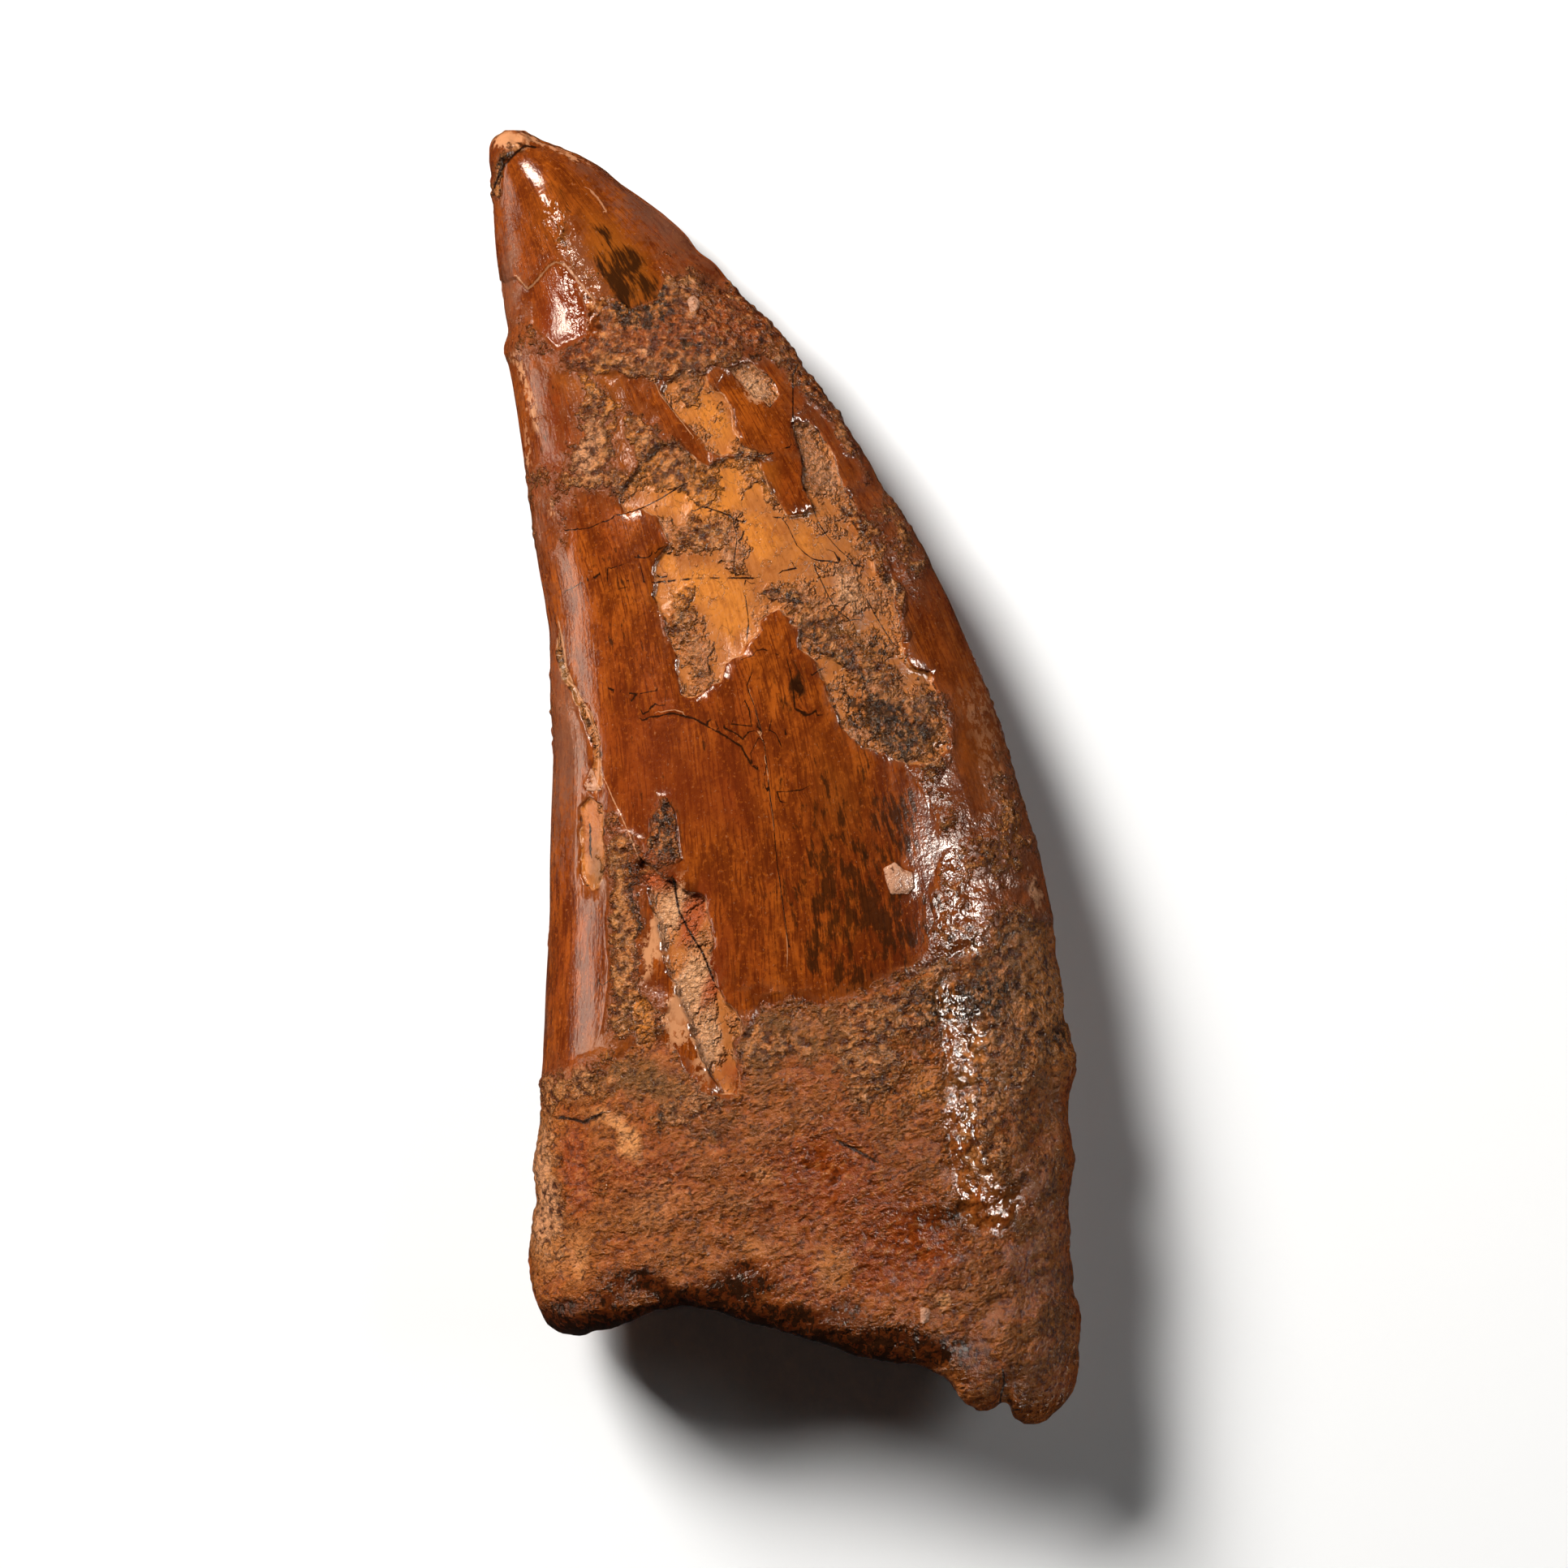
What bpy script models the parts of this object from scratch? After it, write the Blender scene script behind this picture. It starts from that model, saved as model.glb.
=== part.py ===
"""Fossil carcharodontosaurus tooth: one blade-like crown on a stump of root, lying on its flatter face.

The tooth lies in the XY plane as it is seen from above. The root end points to -Y, the tip to +Y and a
little to -X, and +Z is up. The origin is on the resting plane, below the middle of the tooth's box.
The surface is one skin of rings: each ring goes once round the tooth's section, and the rings run from
the tip to the root's rim, over the rim's rounded lip and into the shallow hollow of the root's end.
The skin is made fine, with its chips, cracks, crust and denticles, then thinned to a few thousand faces.
"""

import math

import bpy
import numpy as np
from mathutils import Matrix

MM = 0.001

# Driving sizes, in millimetres.
AXIS_LENGTH = 84.0  # along the middle of the tooth, tip to root rim
ROOT_LIP = 2.4  # how far the rim's rounding reaches up the root
LIP_SHARE = 0.17  # the share of the section that the rounding takes in
HOLLOW_DEPTH = 3.4  # the hollow in the root's end, measured from the rim
RUBBLE = 0.55  # height of the lumps of rock that fill the hollow's floor
ENAMEL = 0.38  # thickness of the enamel, and so the depth of a chip in it
DENTICLE_PITCH = 0.62
DENTICLE_HEIGHT = 0.26
TIP_ROUNDING = 3.0
FLAT_WITHIN = 0.03  # a point of the thinned mesh this near the resting plane lies on it

# Rings along the tooth and points round each ring of the skin, before it is thinned to FACES triangles.
RINGS = 560
ROUND = 176
FACES = 9300

# The outline seen from above: x and y in millimetres, each edge from the tip down to the root.
TIP = (-19.05, 44.45)
DISTAL_EDGE = [
    TIP, (-19.75, 44.0), (-20.15, 43.35), (-20.3, 42.65), (-20.12, 41.9), (-20.0, 40.9), (-19.95, 39.4),
    (-19.85, 37.4), (-19.6, 34.9), (-19.25, 32.3), (-18.98, 30.6), (-19.28, 29.4), (-18.95, 28.2),
    (-18.45, 25.6), (-18.05, 23.2), (-17.55, 20.2), (-17.15, 17.0), (-16.85, 14.6), (-16.4, 11.8),
    (-16.2, 8.6), (-16.05, 5.2), (-15.8, 2.0), (-15.85, -1.6), (-15.95, -6.0), (-16.0, -9.6),
    (-16.25, -13.6), (-16.45, -18.0), (-16.75, -22.4), (-17.15, -25.4), (-17.25, -26.8), (-17.15, -28.6),
    (-17.45, -31.8), (-17.6, -34.0), (-17.4, -36.4),
]
MESIAL_EDGE = [
    TIP, (-18.35, 44.5), (-17.7, 44.2), (-16.2, 43.5), (-14.2, 42.75), (-12.4, 41.8), (-11.2, 40.8),
    (-9.8, 39.8), (-8.0, 38.45), (-6.7, 37.2), (-6.0, 36.25), (-4.9, 35.4), (-3.8, 34.0), (-2.8, 32.8),
    (-1.2, 31.1), (0.2, 29.5), (1.1, 28.1), (2.1, 26.9), (3.3, 25.3), (4.6, 23.2), (5.7, 21.4),
    (6.5, 19.8), (7.7, 18.1), (8.9, 16.3), (9.9, 14.4), (11.0, 12.3), (12.2, 9.7), (13.2, 7.4),
    (14.2, 4.8), (15.2, 1.7), (16.2, -1.6), (17.2, -4.9), (17.9, -7.8), (18.6, -11.4), (19.15, -15.0),
    (19.6, -17.6), (19.85, -20.8), (19.5, -22.2), (19.75, -24.2), (20.05, -26.6), (19.7, -28.8),
    (19.6, -31.0), (19.85, -34.4), (20.15, -37.2), (20.0, -39.8), (19.6, -42.4), (19.3, -44.2),
]
ROOT_RIM = [
    DISTAL_EDGE[-1], (-16.0, -37.7), (-14.2, -38.1), (-12.4, -37.75), (-10.6, -37.1), (-9.0, -36.5),
    (-7.4, -36.2), (-5.4, -36.3), (-3.4, -36.8), (-1.0, -37.5), (1.6, -38.3), (4.6, -39.2),
    (7.4, -39.9), (9.6, -40.4), (11.0, -41.3), (12.0, -42.7), (13.1, -43.5), (14.2, -43.3), (14.95, -42.8),
    (15.5, -43.8), (16.6, -44.5), (17.9, -44.6), MESIAL_EDGE[-1],
]

# Half of the section's thickness, above and below the cutting edges, against the distance from the rim.
THICKNESS_ABOVE = [
    (0, 8.3), (6, 8.6), (14, 8.9), (24, 8.7), (36, 7.7), (48, 6.4), (60, 4.9), (70, 3.7), (77, 2.7), (84, 1.9),
]
THICKNESS_BELOW = [
    (0, 8.0), (6, 8.4), (14, 8.6), (24, 8.2), (36, 7.0), (48, 5.6), (60, 4.3), (70, 3.3), (77, 2.5), (84, 1.8),
]
# Height of the lower face over the resting plane: it bears at the root and at the tip.
LOWER_FACE = [
    (0, 0.3), (6, -0.6), (20, -0.55), (27, -0.1), (36, 0.8), (52, 1.4), (66, 0.8), (75, -0.2), (80, -0.45), (84, 0.0),
]

# Where the enamel has come off the upper face: the outline of each scar and its depth.
UPPER_SCARS = {
    "face_loss": (ENAMEL, [
        (-8.9, 17.5), (-8.0, 16.2), (-8.9, 14.2), (-8.9, 12.3), (-8.2, 10.4), (-7.5, 8.0), (-7.4, 6.0),
        (-6.4, 5.4), (-5.2, 6.2), (-4.4, 7.2), (-3.9, 8.1), (-2.7, 8.6), (-1.6, 10.2), (-1.4, 11.1),
        (0.1, 11.4), (1.0, 9.2), (2.4, 7.6), (3.0, 5.2), (4.0, 3.4), (5.8, 2.0), (8.2, 1.1), (10.6, 1.2),
        (11.0, 3.2), (10.4, 6.4), (8.4, 7.5), (7.7, 10.6), (7.2, 13.5), (6.2, 13.9), (5.3, 16.2),
        (4.2, 18.6), (3.3, 21.6), (2.4, 23.7), (0.5, 24.1), (1.0, 22.0), (1.3, 20.2), (1.8, 18.2),
        (0.1, 18.0), (-1.0, 19.8), (-2.4, 22.1), (-5.2, 22.0), (-6.6, 21.0), (-7.6, 19.6),
    ]),
    "oval_chip": (ENAMEL, [
        (-8.4, 26.6), (-7.6, 27.6), (-6.2, 27.6), (-4.9, 26.8), (-4.1, 25.6), (-3.4, 24.2), (-3.1, 22.8),
        (-3.8, 22.3), (-5.2, 22.2), (-6.2, 23.3), (-7.2, 24.6), (-8.0, 25.6),
    ]),
    "edge_chip": (ENAMEL, [
        (-3.2, 28.2), (-2.4, 28.6), (-1.4, 28.0), (-0.7, 27.0), (-0.5, 26.2), (-1.0, 25.7), (-1.9, 26.2),
        (-3.0, 27.2),
    ]),
    "long_scar": (0.9, [
        (-10.0, -5.4), (-9.1, -6.1), (-8.2, -6.9), (-7.2, -7.4), (-6.0, -7.8), (-5.4, -8.6), (-5.0, -10.4),
        (-4.4, -11.6), (-4.4, -13.3), (-3.6, -15.2), (-3.0, -17.2), (-4.2, -18.0), (-4.3, -20.0),
        (-5.6, -19.6), (-6.3, -17.6), (-7.3, -15.6), (-7.9, -13.4), (-8.4, -11.4), (-8.8, -9.2),
        (-9.6, -7.6),
    ]),
    "distal_chip": (ENAMEL, [
        (-13.6, -1.5), (-12.7, -1.8), (-12.4, -3.6), (-12.3, -5.8), (-12.7, -7.4), (-13.2, -7.7),
        (-13.8, -6.9), (-14.2, -5.2), (-14.3, -3.2),
    ]),
    "distal_spall": (0.3, [
        (-15.3, 6.4), (-14.2, 5.6), (-13.0, 3.4), (-12.5, 0.4), (-12.9, -1.2), (-13.9, -0.9),
        (-14.2, 1.4), (-14.6, 3.8),
    ]),
    "tip_flake": (0.25, [
        (-18.4, 34.3), (-17.7, 33.5), (-16.9, 34.4), (-15.9, 35.3), (-15.0, 35.0), (-14.2, 34.0),
        (-13.2, 32.6), (-14.6, 31.6), (-16.8, 31.4), (-18.4, 32.2),
    ]),
    "crust_edge": (0.3, [
        (-15.0, 26.0), (-13.2, 27.0), (-11.6, 26.4), (-10.2, 25.8), (-8.9, 25.2), (-7.6, 23.0),
        (-7.0, 21.2), (-7.4, 19.9), (-10.2, 18.4), (-13.6, 17.4), (-14.8, 19.4), (-14.4, 22.6),
    ]),
    "notch_slot": (0.6, [(3.6, -24.5), (6.0, -25.6), (6.0, -26.0), (3.7, -25.0)]),
}
LOWER_SCARS = {
    "lower_loss": (ENAMEL, [
        (-4.0, 20.0), (-1.0, 17.0), (2.5, 12.0), (5.0, 6.5), (4.6, 2.0), (1.8, 0.6), (-1.2, 2.2),
        (-2.6, 6.4), (-5.4, 9.2), (-6.8, 13.6), (-6.0, 17.8),
    ]),
    "lower_chip": (ENAMEL, [(8.6, -2.0), (11.0, -3.4), (11.6, -7.2), (9.8, -9.0), (8.2, -6.4), (7.8, -3.8)]),
    "lower_spall": (0.5, [(-12.4, -4.0), (-10.6, -5.6), (-9.6, -10.4), (-11.2, -13.8), (-12.8, -10.6), (-13.2, -6.4)]),
}

# The crown ends and the root begins at this line across the tooth; the root's surface lies a little lower.
CROWN_END = [
    (-18.0, -21.0), (-14.0, -20.4), (-11.6, -19.2), (-9.0, -18.4), (-5.8, -20.6), (-3.4, -17.6), (0.0, -15.4),
    (4.0, -15.2), (7.0, -13.9), (11.0, -13.2), (14.0, -11.6), (21.0, -9.4),
]
CRACKS = [
    [(-14.8, 17.0), (-11.0, 18.0), (-8.6, 19.2), (-6.9, 20.2)],
    [(-8.9, 13.3), (-6.8, 13.6), (-4.4, 13.7), (-2.3, 13.6)],
    [(-6.2, 18.4), (-4.4, 18.1), (-3.1, 17.5), (-1.6, 17.8), (-0.2, 17.6)],
    [(-0.3, 14.1), (1.4, 14.5), (2.8, 14.8), (4.9, 14.4)],
    [(-9.4, 4.0), (-7.8, 4.5), (-6.2, 4.1), (-4.6, 3.3), (-3.2, 2.2), (-2.4, 0.6)],
    [(-2.9, 7.8), (-2.0, 4.0), (-1.3, 0.8), (-0.9, -3.0), (-0.4, -7.4), (0.1, -11.4)],
    [(-15.2, -23.4), (-14.0, -23.6), (-12.8, -22.8)],
]
CRACK_WIDTH = 0.35
CRACK_DEPTH = 0.3

# Sandy crust left on the enamel: it stands a little proud and is rough.
CRUSTS = [
    [
        (-18.6, 30.2), (-16.0, 30.6), (-13.4, 32.0), (-10.4, 31.6), (-7.4, 33.0), (-4.6, 31.4), (-3.6, 28.6),
        (-7.4, 28.4), (-9.0, 26.6), (-9.4, 22.6), (-10.4, 19.4), (-13.6, 18.0), (-15.4, 20.4), (-16.4, 25.4),
    ],
    [
        (-12.2, -5.6), (-10.6, -5.8), (-9.6, -9.6), (-8.6, -13.6), (-6.6, -19.0), (-9.4, -21.0),
        (-13.4, -20.2), (-13.0, -14.6), (-11.6, -11.0),
    ],
    [
        (10.0, 8.4), (11.6, 3.4), (10.6, 1.0), (7.0, 1.2), (3.6, 4.2), (1.6, 8.6), (-0.8, 12.4), (1.8, 13.6),
        (4.4, 10.4), (7.4, 9.0),
    ],
]
CRUST_HEIGHT = 0.14
CRUST_GRAIN = 0.16

# Beside the tip the mesial flank is a smooth facet that falls away from this ridge.
FACET = [
    (-13.4, 42.4), (-12.4, 40.9), (-11.4, 39.3), (-10.6, 37.6), (-9.0, 36.0), (-7.0, 34.8), (-4.6, 31.6),
    (-1.0, 32.0), (-8.0, 41.0),
]
FACET_FALL = 0.16
FACET_DEPTH = 0.4


def smooth_curve(points, count, spacing=None):
    """Points spread along a smooth curve through the given ones, evenly by length or at given shares of it."""
    knots = np.array(points, float)
    reach = np.concatenate([[0.0], np.cumsum(np.linalg.norm(np.diff(knots, axis=0), axis=1))])
    slopes = np.gradient(knots, reach, axis=0)
    share = np.linspace(0.0, 1.0, count) if spacing is None else np.asarray(spacing)
    at = share * reach[-1]
    index = np.clip(np.searchsorted(reach, at, side="right") - 1, 0, len(knots) - 2)
    span = (reach[index + 1] - reach[index])[:, None]
    t = ((at - reach[index])[:, None]) / span
    start, end = knots[index], knots[index + 1]
    return (
        (2 * t**3 - 3 * t**2 + 1) * start
        + (t**3 - 2 * t**2 + t) * span * slopes[index]
        + (3 * t**2 - 2 * t**3) * end
        + (t**3 - t**2) * span * slopes[index + 1]
    )


def by_distance(table, distance):
    """A value read from (distance, value) pairs, eased between them."""
    along, values = np.array(table, float).T
    fine = np.linspace(along[0], along[-1], 400)
    eased = np.convolve(np.pad(np.interp(fine, along, values), 20, mode="edge"), np.ones(41) / 41, "valid")
    return np.interp(distance, fine, eased)


def lattice_noise(x, y, z, seed):
    """Smooth noise from -1 to 1 with one bump for each unit of length, the same on every run."""
    corner = [np.floor(c).astype(np.int64) for c in (x, y, z)]
    inside = [c - k for c, k in zip((x, y, z), corner)]
    ease = [f * f * (3 - 2 * f) for f in inside]
    total = np.zeros(np.shape(x))
    for i in (0, 1):
        for j in (0, 1):
            for k in (0, 1):
                h = (corner[0] + i) * 374761393 + (corner[1] + j) * 668265263
                h = h + (corner[2] + k) * 2246822519 + seed * 3266489917
                h = (h ^ (h >> 13)) * 1274126177
                value = ((h ^ (h >> 16)) & 65535) / 32767.5 - 1.0
                weight = (ease[0] if i else 1 - ease[0]) * (ease[1] if j else 1 - ease[1])
                total += value * weight * (ease[2] if k else 1 - ease[2])
    return total


def depth_inside(x, y, outline):
    """Distance from a closed outline, positive inside it."""
    corners = np.array(outline, float)
    nearest = np.full(np.shape(x), 1e9)
    inside = np.zeros(np.shape(x), bool)
    for (x0, y0), (x1, y1) in zip(corners, np.roll(corners, -1, axis=0)):
        dx, dy = x1 - x0, y1 - y0
        t = np.clip(((x - x0) * dx + (y - y0) * dy) / (dx * dx + dy * dy), 0, 1)
        nearest = np.minimum(nearest, np.hypot(x - x0 - t * dx, y - y0 - t * dy))
        crosses = (y0 > y) != (y1 > y)
        inside ^= crosses & (x < x0 + (y - y0) * dx / (dy if dy else 1e-9))
    return np.where(inside, nearest, -nearest)


def distance_to_line(x, y, line):
    """Distance from an open line of straight runs."""
    nearest = np.full(np.shape(x), 1e9)
    for (x0, y0), (x1, y1) in zip(line[:-1], line[1:]):
        dx, dy = x1 - x0, y1 - y0
        t = np.clip(((x - x0) * dx + (y - y0) * dy) / (dx * dx + dy * dy), 0, 1)
        nearest = np.minimum(nearest, np.hypot(x - x0 - t * dx, y - y0 - t * dy))
    return nearest


def ring_path():
    """Each ring's distance from the rim and the share by which it is drawn in, from the tip to the hollow."""
    lip_rings, floor_rings = 14, 12
    outer = RINGS - lip_rings - floor_rings
    run = np.linspace(0.0, 1.0, outer) ** 1.15
    distance = list(AXIS_LENGTH - run * (AXIS_LENGTH - ROOT_LIP))
    drawn_in = [0.0] * outer
    for turn in np.linspace(0, math.pi, lip_rings + 1)[1:]:
        distance.append(ROOT_LIP * (1 - math.sin(turn)))
        drawn_in.append(LIP_SHARE * (1 - math.cos(turn)))
    for share in np.linspace(0, 1, floor_rings + 1)[1:]:
        distance.append(ROOT_LIP + (HOLLOW_DEPTH - ROOT_LIP) * math.sin(share * math.pi / 2))
        drawn_in.append(2 * LIP_SHARE + (1 - 2 * LIP_SHARE) * share)
    return np.array(distance), np.array(drawn_in)


def plan_of(share, u):
    """Place in plan of each point: share runs from the rim, 0, to the tip, 1, and u from distal to mesial."""
    fine = 1200
    distal = smooth_curve(DISTAL_EDGE, fine)[::-1]
    mesial = smooth_curve(MESIAL_EDGE, fine)[::-1]
    rim = smooth_curve(ROOT_RIM, fine)
    chord = distal[0] + (mesial[0] - distal[0]) * np.linspace(0, 1, fine)[:, None]
    along = np.linspace(0, 1, fine)
    places = []
    for axis in (0, 1):
        left = np.interp(share, along, distal[:, axis])
        right = np.interp(share, along, mesial[:, axis])
        bow = np.interp(u, along, rim[:, axis] - chord[:, axis])
        places.append((1 - u) * left + u * right + (1 - share) ** 4 * bow)
    return places


def section_fullness(across, share):
    """Share of the half thickness left at a place across the section, from 1 at the middle to 0 at an edge."""
    crown = np.clip((share - 0.12) / 0.25, 0, 1)
    flatness = np.where(across < 0, 3.3 - 0.6 * crown, 2.5 - 0.2 * crown)
    edge = np.where(across < 0, 0.5 + 0.12 * crown, 0.52 + 0.2 * crown)
    return (1 - np.abs(across) ** flatness) ** edge


def bare_skin():
    """The tooth's plain form: x, y and z of each point of each ring, and where each point is on the skin."""
    distance, drawn_in = ring_path()
    angle = np.linspace(0, 2 * math.pi, ROUND, endpoint=False)
    across = np.cos(angle)[None, :] * np.ones((len(distance), 1))
    upper = np.sin(angle)[None, :] * np.ones((len(distance), 1)) >= 0
    distance = distance[:, None] * np.ones((1, ROUND))
    drawn_in = drawn_in[:, None] * np.ones((1, ROUND))
    share = distance / AXIS_LENGTH
    x, y = plan_of(share, 0.5 + 0.5 * across * (1 - drawn_in))
    from_tip = AXIS_LENGTH - distance
    nose = np.sqrt(1 - (1 - np.clip(from_tip / TIP_ROUNDING, 0, 1)) ** 2)
    above = by_distance(THICKNESS_ABOVE, distance) * nose
    below = by_distance(THICKNESS_BELOW, distance) * nose
    middle = by_distance(LOWER_FACE, distance) + by_distance(THICKNESS_BELOW, distance)
    half = np.where(upper, above, -below)
    z = middle + half * section_fullness(across, share) * (1 - drawn_in)
    in_hollow = np.clip((drawn_in - LIP_SHARE) / (2 * LIP_SHARE), 0, 1)
    return x, y, z, across, upper, share, in_hollow


def outward(x, y, z):
    """Unit normals of the skin, pointing out."""
    places = np.stack([x, y, z], axis=-1)
    along = np.gradient(places, axis=0)
    ahead, behind = np.roll(places, -1, axis=1), np.roll(places, 1, axis=1)
    normal = np.cross(ahead - behind, along)
    length = np.linalg.norm(normal, axis=-1, keepdims=True)
    return normal / np.maximum(length, 1e-9)


def scars(x, y, table, seed):
    """How far the scars lower the surface, with ragged edges."""
    ragged_x = x + 0.28 * lattice_noise(x * 1.3, y * 1.3, 0 * x, seed)
    ragged_y = y + 0.28 * lattice_noise(x * 1.3, y * 1.3, 0 * x, seed + 1)
    lowered = np.zeros(x.shape)
    for depth, outline in table.values():
        ledge = np.clip(0.5 + depth_inside(ragged_x, ragged_y, outline) / 0.3, 0, 1)
        lowered = np.maximum(lowered, depth * ledge)
    return lowered


def crust(x, y, z):
    """Height of the sandy crust over the enamel."""
    grain = CRUST_GRAIN * lattice_noise(x / 0.9, y / 0.9, z / 0.9, 61)
    cover = np.zeros(x.shape)
    for outline in CRUSTS:
        cover = np.maximum(cover, np.clip(0.5 + depth_inside(x, y, outline) / 1.2, 0, 1))
    return cover * (CRUST_HEIGHT + grain)


def relief(x, y, z, upper, in_hollow):
    """Height of the surface over the plain form: swells, facet, crust, scars, cracks and the coarse root."""
    swell = 0.16 * lattice_noise(x / 7, y / 9, z / 6, 11)
    below_crown = np.interp(x, *np.array(CROWN_END).T) - y
    root = np.clip(0.5 + below_crown / 1.2, 0, 1)
    coarse = 0.22 * lattice_noise(x / 2.2, y / 2.2, z / 2.2, 23) + 0.12 * lattice_noise(x, y, z, 31)
    top = crust(x, y, z) - scars(x, y, UPPER_SCARS, 41)
    top = top - np.clip(FACET_FALL * depth_inside(x, y, FACET), 0, FACET_DEPTH)
    for line in CRACKS:
        top = top - CRACK_DEPTH * np.clip(1 - distance_to_line(x, y, line) / CRACK_WIDTH, 0, 1)
    under = -scars(x, y, LOWER_SCARS, 51)
    rubble = RUBBLE * (lattice_noise(x / 3, y / 3, z / 3, 71) + 0.5 * lattice_noise(x / 1.5, y / 1.5, z / 1.5, 73))
    return swell + np.where(upper, top, under) + root * (coarse - 0.25) + in_hollow * rubble


def denticles(x, y, across, share):
    """How far each denticle stands out of the two cutting edges. Wear has taken them off near the tip."""
    strip = np.exp(-(((1 - np.abs(across)) / 0.006) ** 2))
    step = np.hypot(np.diff(x, axis=0, prepend=x[:1]), np.diff(y, axis=0, prepend=y[:1]))
    run = np.cumsum(step, axis=0)
    wave = 0.5 + 0.5 * np.cos(2 * math.pi * run / DENTICLE_PITCH)
    mesial = np.interp(share, [0.26, 0.34, 0.66, 0.8, 0.97, 0.99], [0, 1, 1, 0.5, 0.35, 0])
    distal = np.interp(share, [0.16, 0.2, 0.6, 0.8, 0.95, 0.98], [0, 0.7, 0.7, 0.4, 0.3, 0])
    return DENTICLE_HEIGHT * wave * strip * np.where(across > 0, mesial, distal)


def skin_mesh(name, places):
    """A closed mesh of the rings, each end gathered to one point."""
    rings, around = places.shape[:2]
    inner = places[1:-1].reshape(-1, 3)
    points = np.concatenate([places[:1, 0], inner, places[-1:, 0]])
    start = 1 + np.arange(rings - 3)[:, None] * around
    here, beside = np.arange(around)[None, :], (np.arange(around)[None, :] + 1) % around
    quads = np.stack([start + here, start + beside, start + around + beside, start + around + here], axis=-1)
    last = 1 + (rings - 3) * around
    end = len(points) - 1
    faces = [tuple(q) for q in quads.reshape(-1, 4).tolist()]
    faces += [(0, 1 + (k + 1) % around, 1 + k) for k in range(around)]
    faces += [(last + k, last + (k + 1) % around, end) for k in range(around)]
    mesh = bpy.data.meshes.new(name)
    mesh.from_pydata((points * MM).tolist(), [], faces)
    return mesh


def thinned(obj, faces):
    """The object's mesh with about this many triangles, most of them where the surface turns."""
    decimate = obj.modifiers.new("Thin", "DECIMATE")
    decimate.ratio = faces / (2 * len(obj.data.polygons))
    decimate.use_collapse_triangulate = True
    graph = bpy.context.evaluated_depsgraph_get()
    mesh = bpy.data.meshes.new_from_object(obj.evaluated_get(graph))
    obj.modifiers.clear()
    return mesh


def lay_flat(mesh):
    """Brings the lowest points exactly onto the resting plane, where they make the worn flats."""
    for vertex in mesh.vertices:
        if vertex.co.z < FLAT_WITHIN * MM:
            vertex.co.z = 0.0


def centre(mesh):
    """Moves the mesh sideways until the middle of its box is over the origin."""
    places = np.array([v.co for v in mesh.vertices])
    middle = (places.min(axis=0) + places.max(axis=0)) / 2
    mesh.transform(Matrix.Translation((-middle[0], -middle[1], 0)))


def fossil_material():
    """Mineral-stained enamel, polished by burial."""
    material = bpy.data.materials.new("fossil_enamel")
    material.use_nodes = True
    shader = material.node_tree.nodes["Principled BSDF"]
    shader.inputs["Base Color"].default_value = (0.30, 0.085, 0.022, 1)
    shader.inputs["Roughness"].default_value = 0.35
    shader.inputs["Metallic"].default_value = 0.0
    material.diffuse_color = (0.30, 0.085, 0.022, 1)
    return material


def build_tooth():
    x, y, z, across, upper, share, in_hollow = bare_skin()
    normal = outward(x, y, z)
    height = relief(x, y, z, upper, in_hollow)
    places = np.stack([x, y, z], axis=-1) + normal * height[..., None]
    sideways = np.stack([np.sign(across), 0 * x, 0 * x], axis=-1)
    places = places + sideways * denticles(x, y, across, share)[..., None]
    places[..., 2] = np.maximum(places[..., 2], 0.0)
    tooth = bpy.data.objects.new("tooth", skin_mesh("tooth", places))
    bpy.context.scene.collection.objects.link(tooth)
    tooth.data = thinned(tooth, FACES)
    lay_flat(tooth.data)
    centre(tooth.data)
    tooth.data.materials.clear()
    tooth.data.materials.append(fossil_material())
    tooth.data.shade_smooth()
    tooth.data.set_sharp_from_angle(angle=math.radians(50))


def main():
    for obj in list(bpy.data.objects):
        bpy.data.objects.remove(obj)
    build_tooth()


main()
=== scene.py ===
"""Looks of a fossil carcharodontosaurus tooth: a stained, chipped and crusted tooth on a pale table.

The tooth is one skin of fine rings with its chips, cracks, crust and root texture in the mesh. What each
spot of it is made of, such as enamel, bare dentine or sand crust, is written on the mesh as attributes, which
one material reads. Two rows of denticles stand on the cutting edges. All places are in millimetres in the
plane of the table, with the root end towards -Y, until the mesh is made.
"""

import math

import bpy
import numpy as np
from bpy.props import FloatProperty, FloatVectorProperty, IntProperty, PointerProperty
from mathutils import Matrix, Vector


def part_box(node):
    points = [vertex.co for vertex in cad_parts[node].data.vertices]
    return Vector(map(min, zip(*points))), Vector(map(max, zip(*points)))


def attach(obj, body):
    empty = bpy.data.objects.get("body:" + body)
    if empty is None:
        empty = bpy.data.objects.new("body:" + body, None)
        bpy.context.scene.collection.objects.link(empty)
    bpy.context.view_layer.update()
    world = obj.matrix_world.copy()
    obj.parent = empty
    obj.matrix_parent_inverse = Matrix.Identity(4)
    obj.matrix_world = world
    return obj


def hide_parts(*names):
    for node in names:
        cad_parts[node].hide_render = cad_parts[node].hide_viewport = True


bl_info = {
    "name": "Fossil theropod tooth",
    "version": (1, 0, 0),
    "blender": (4, 5, 0),
    "location": "3D View > Sidebar > Fossil tooth",
    "description": "Builds a stained, chipped fossil tooth on its packed frame",
    "category": "Object",
}

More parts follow.
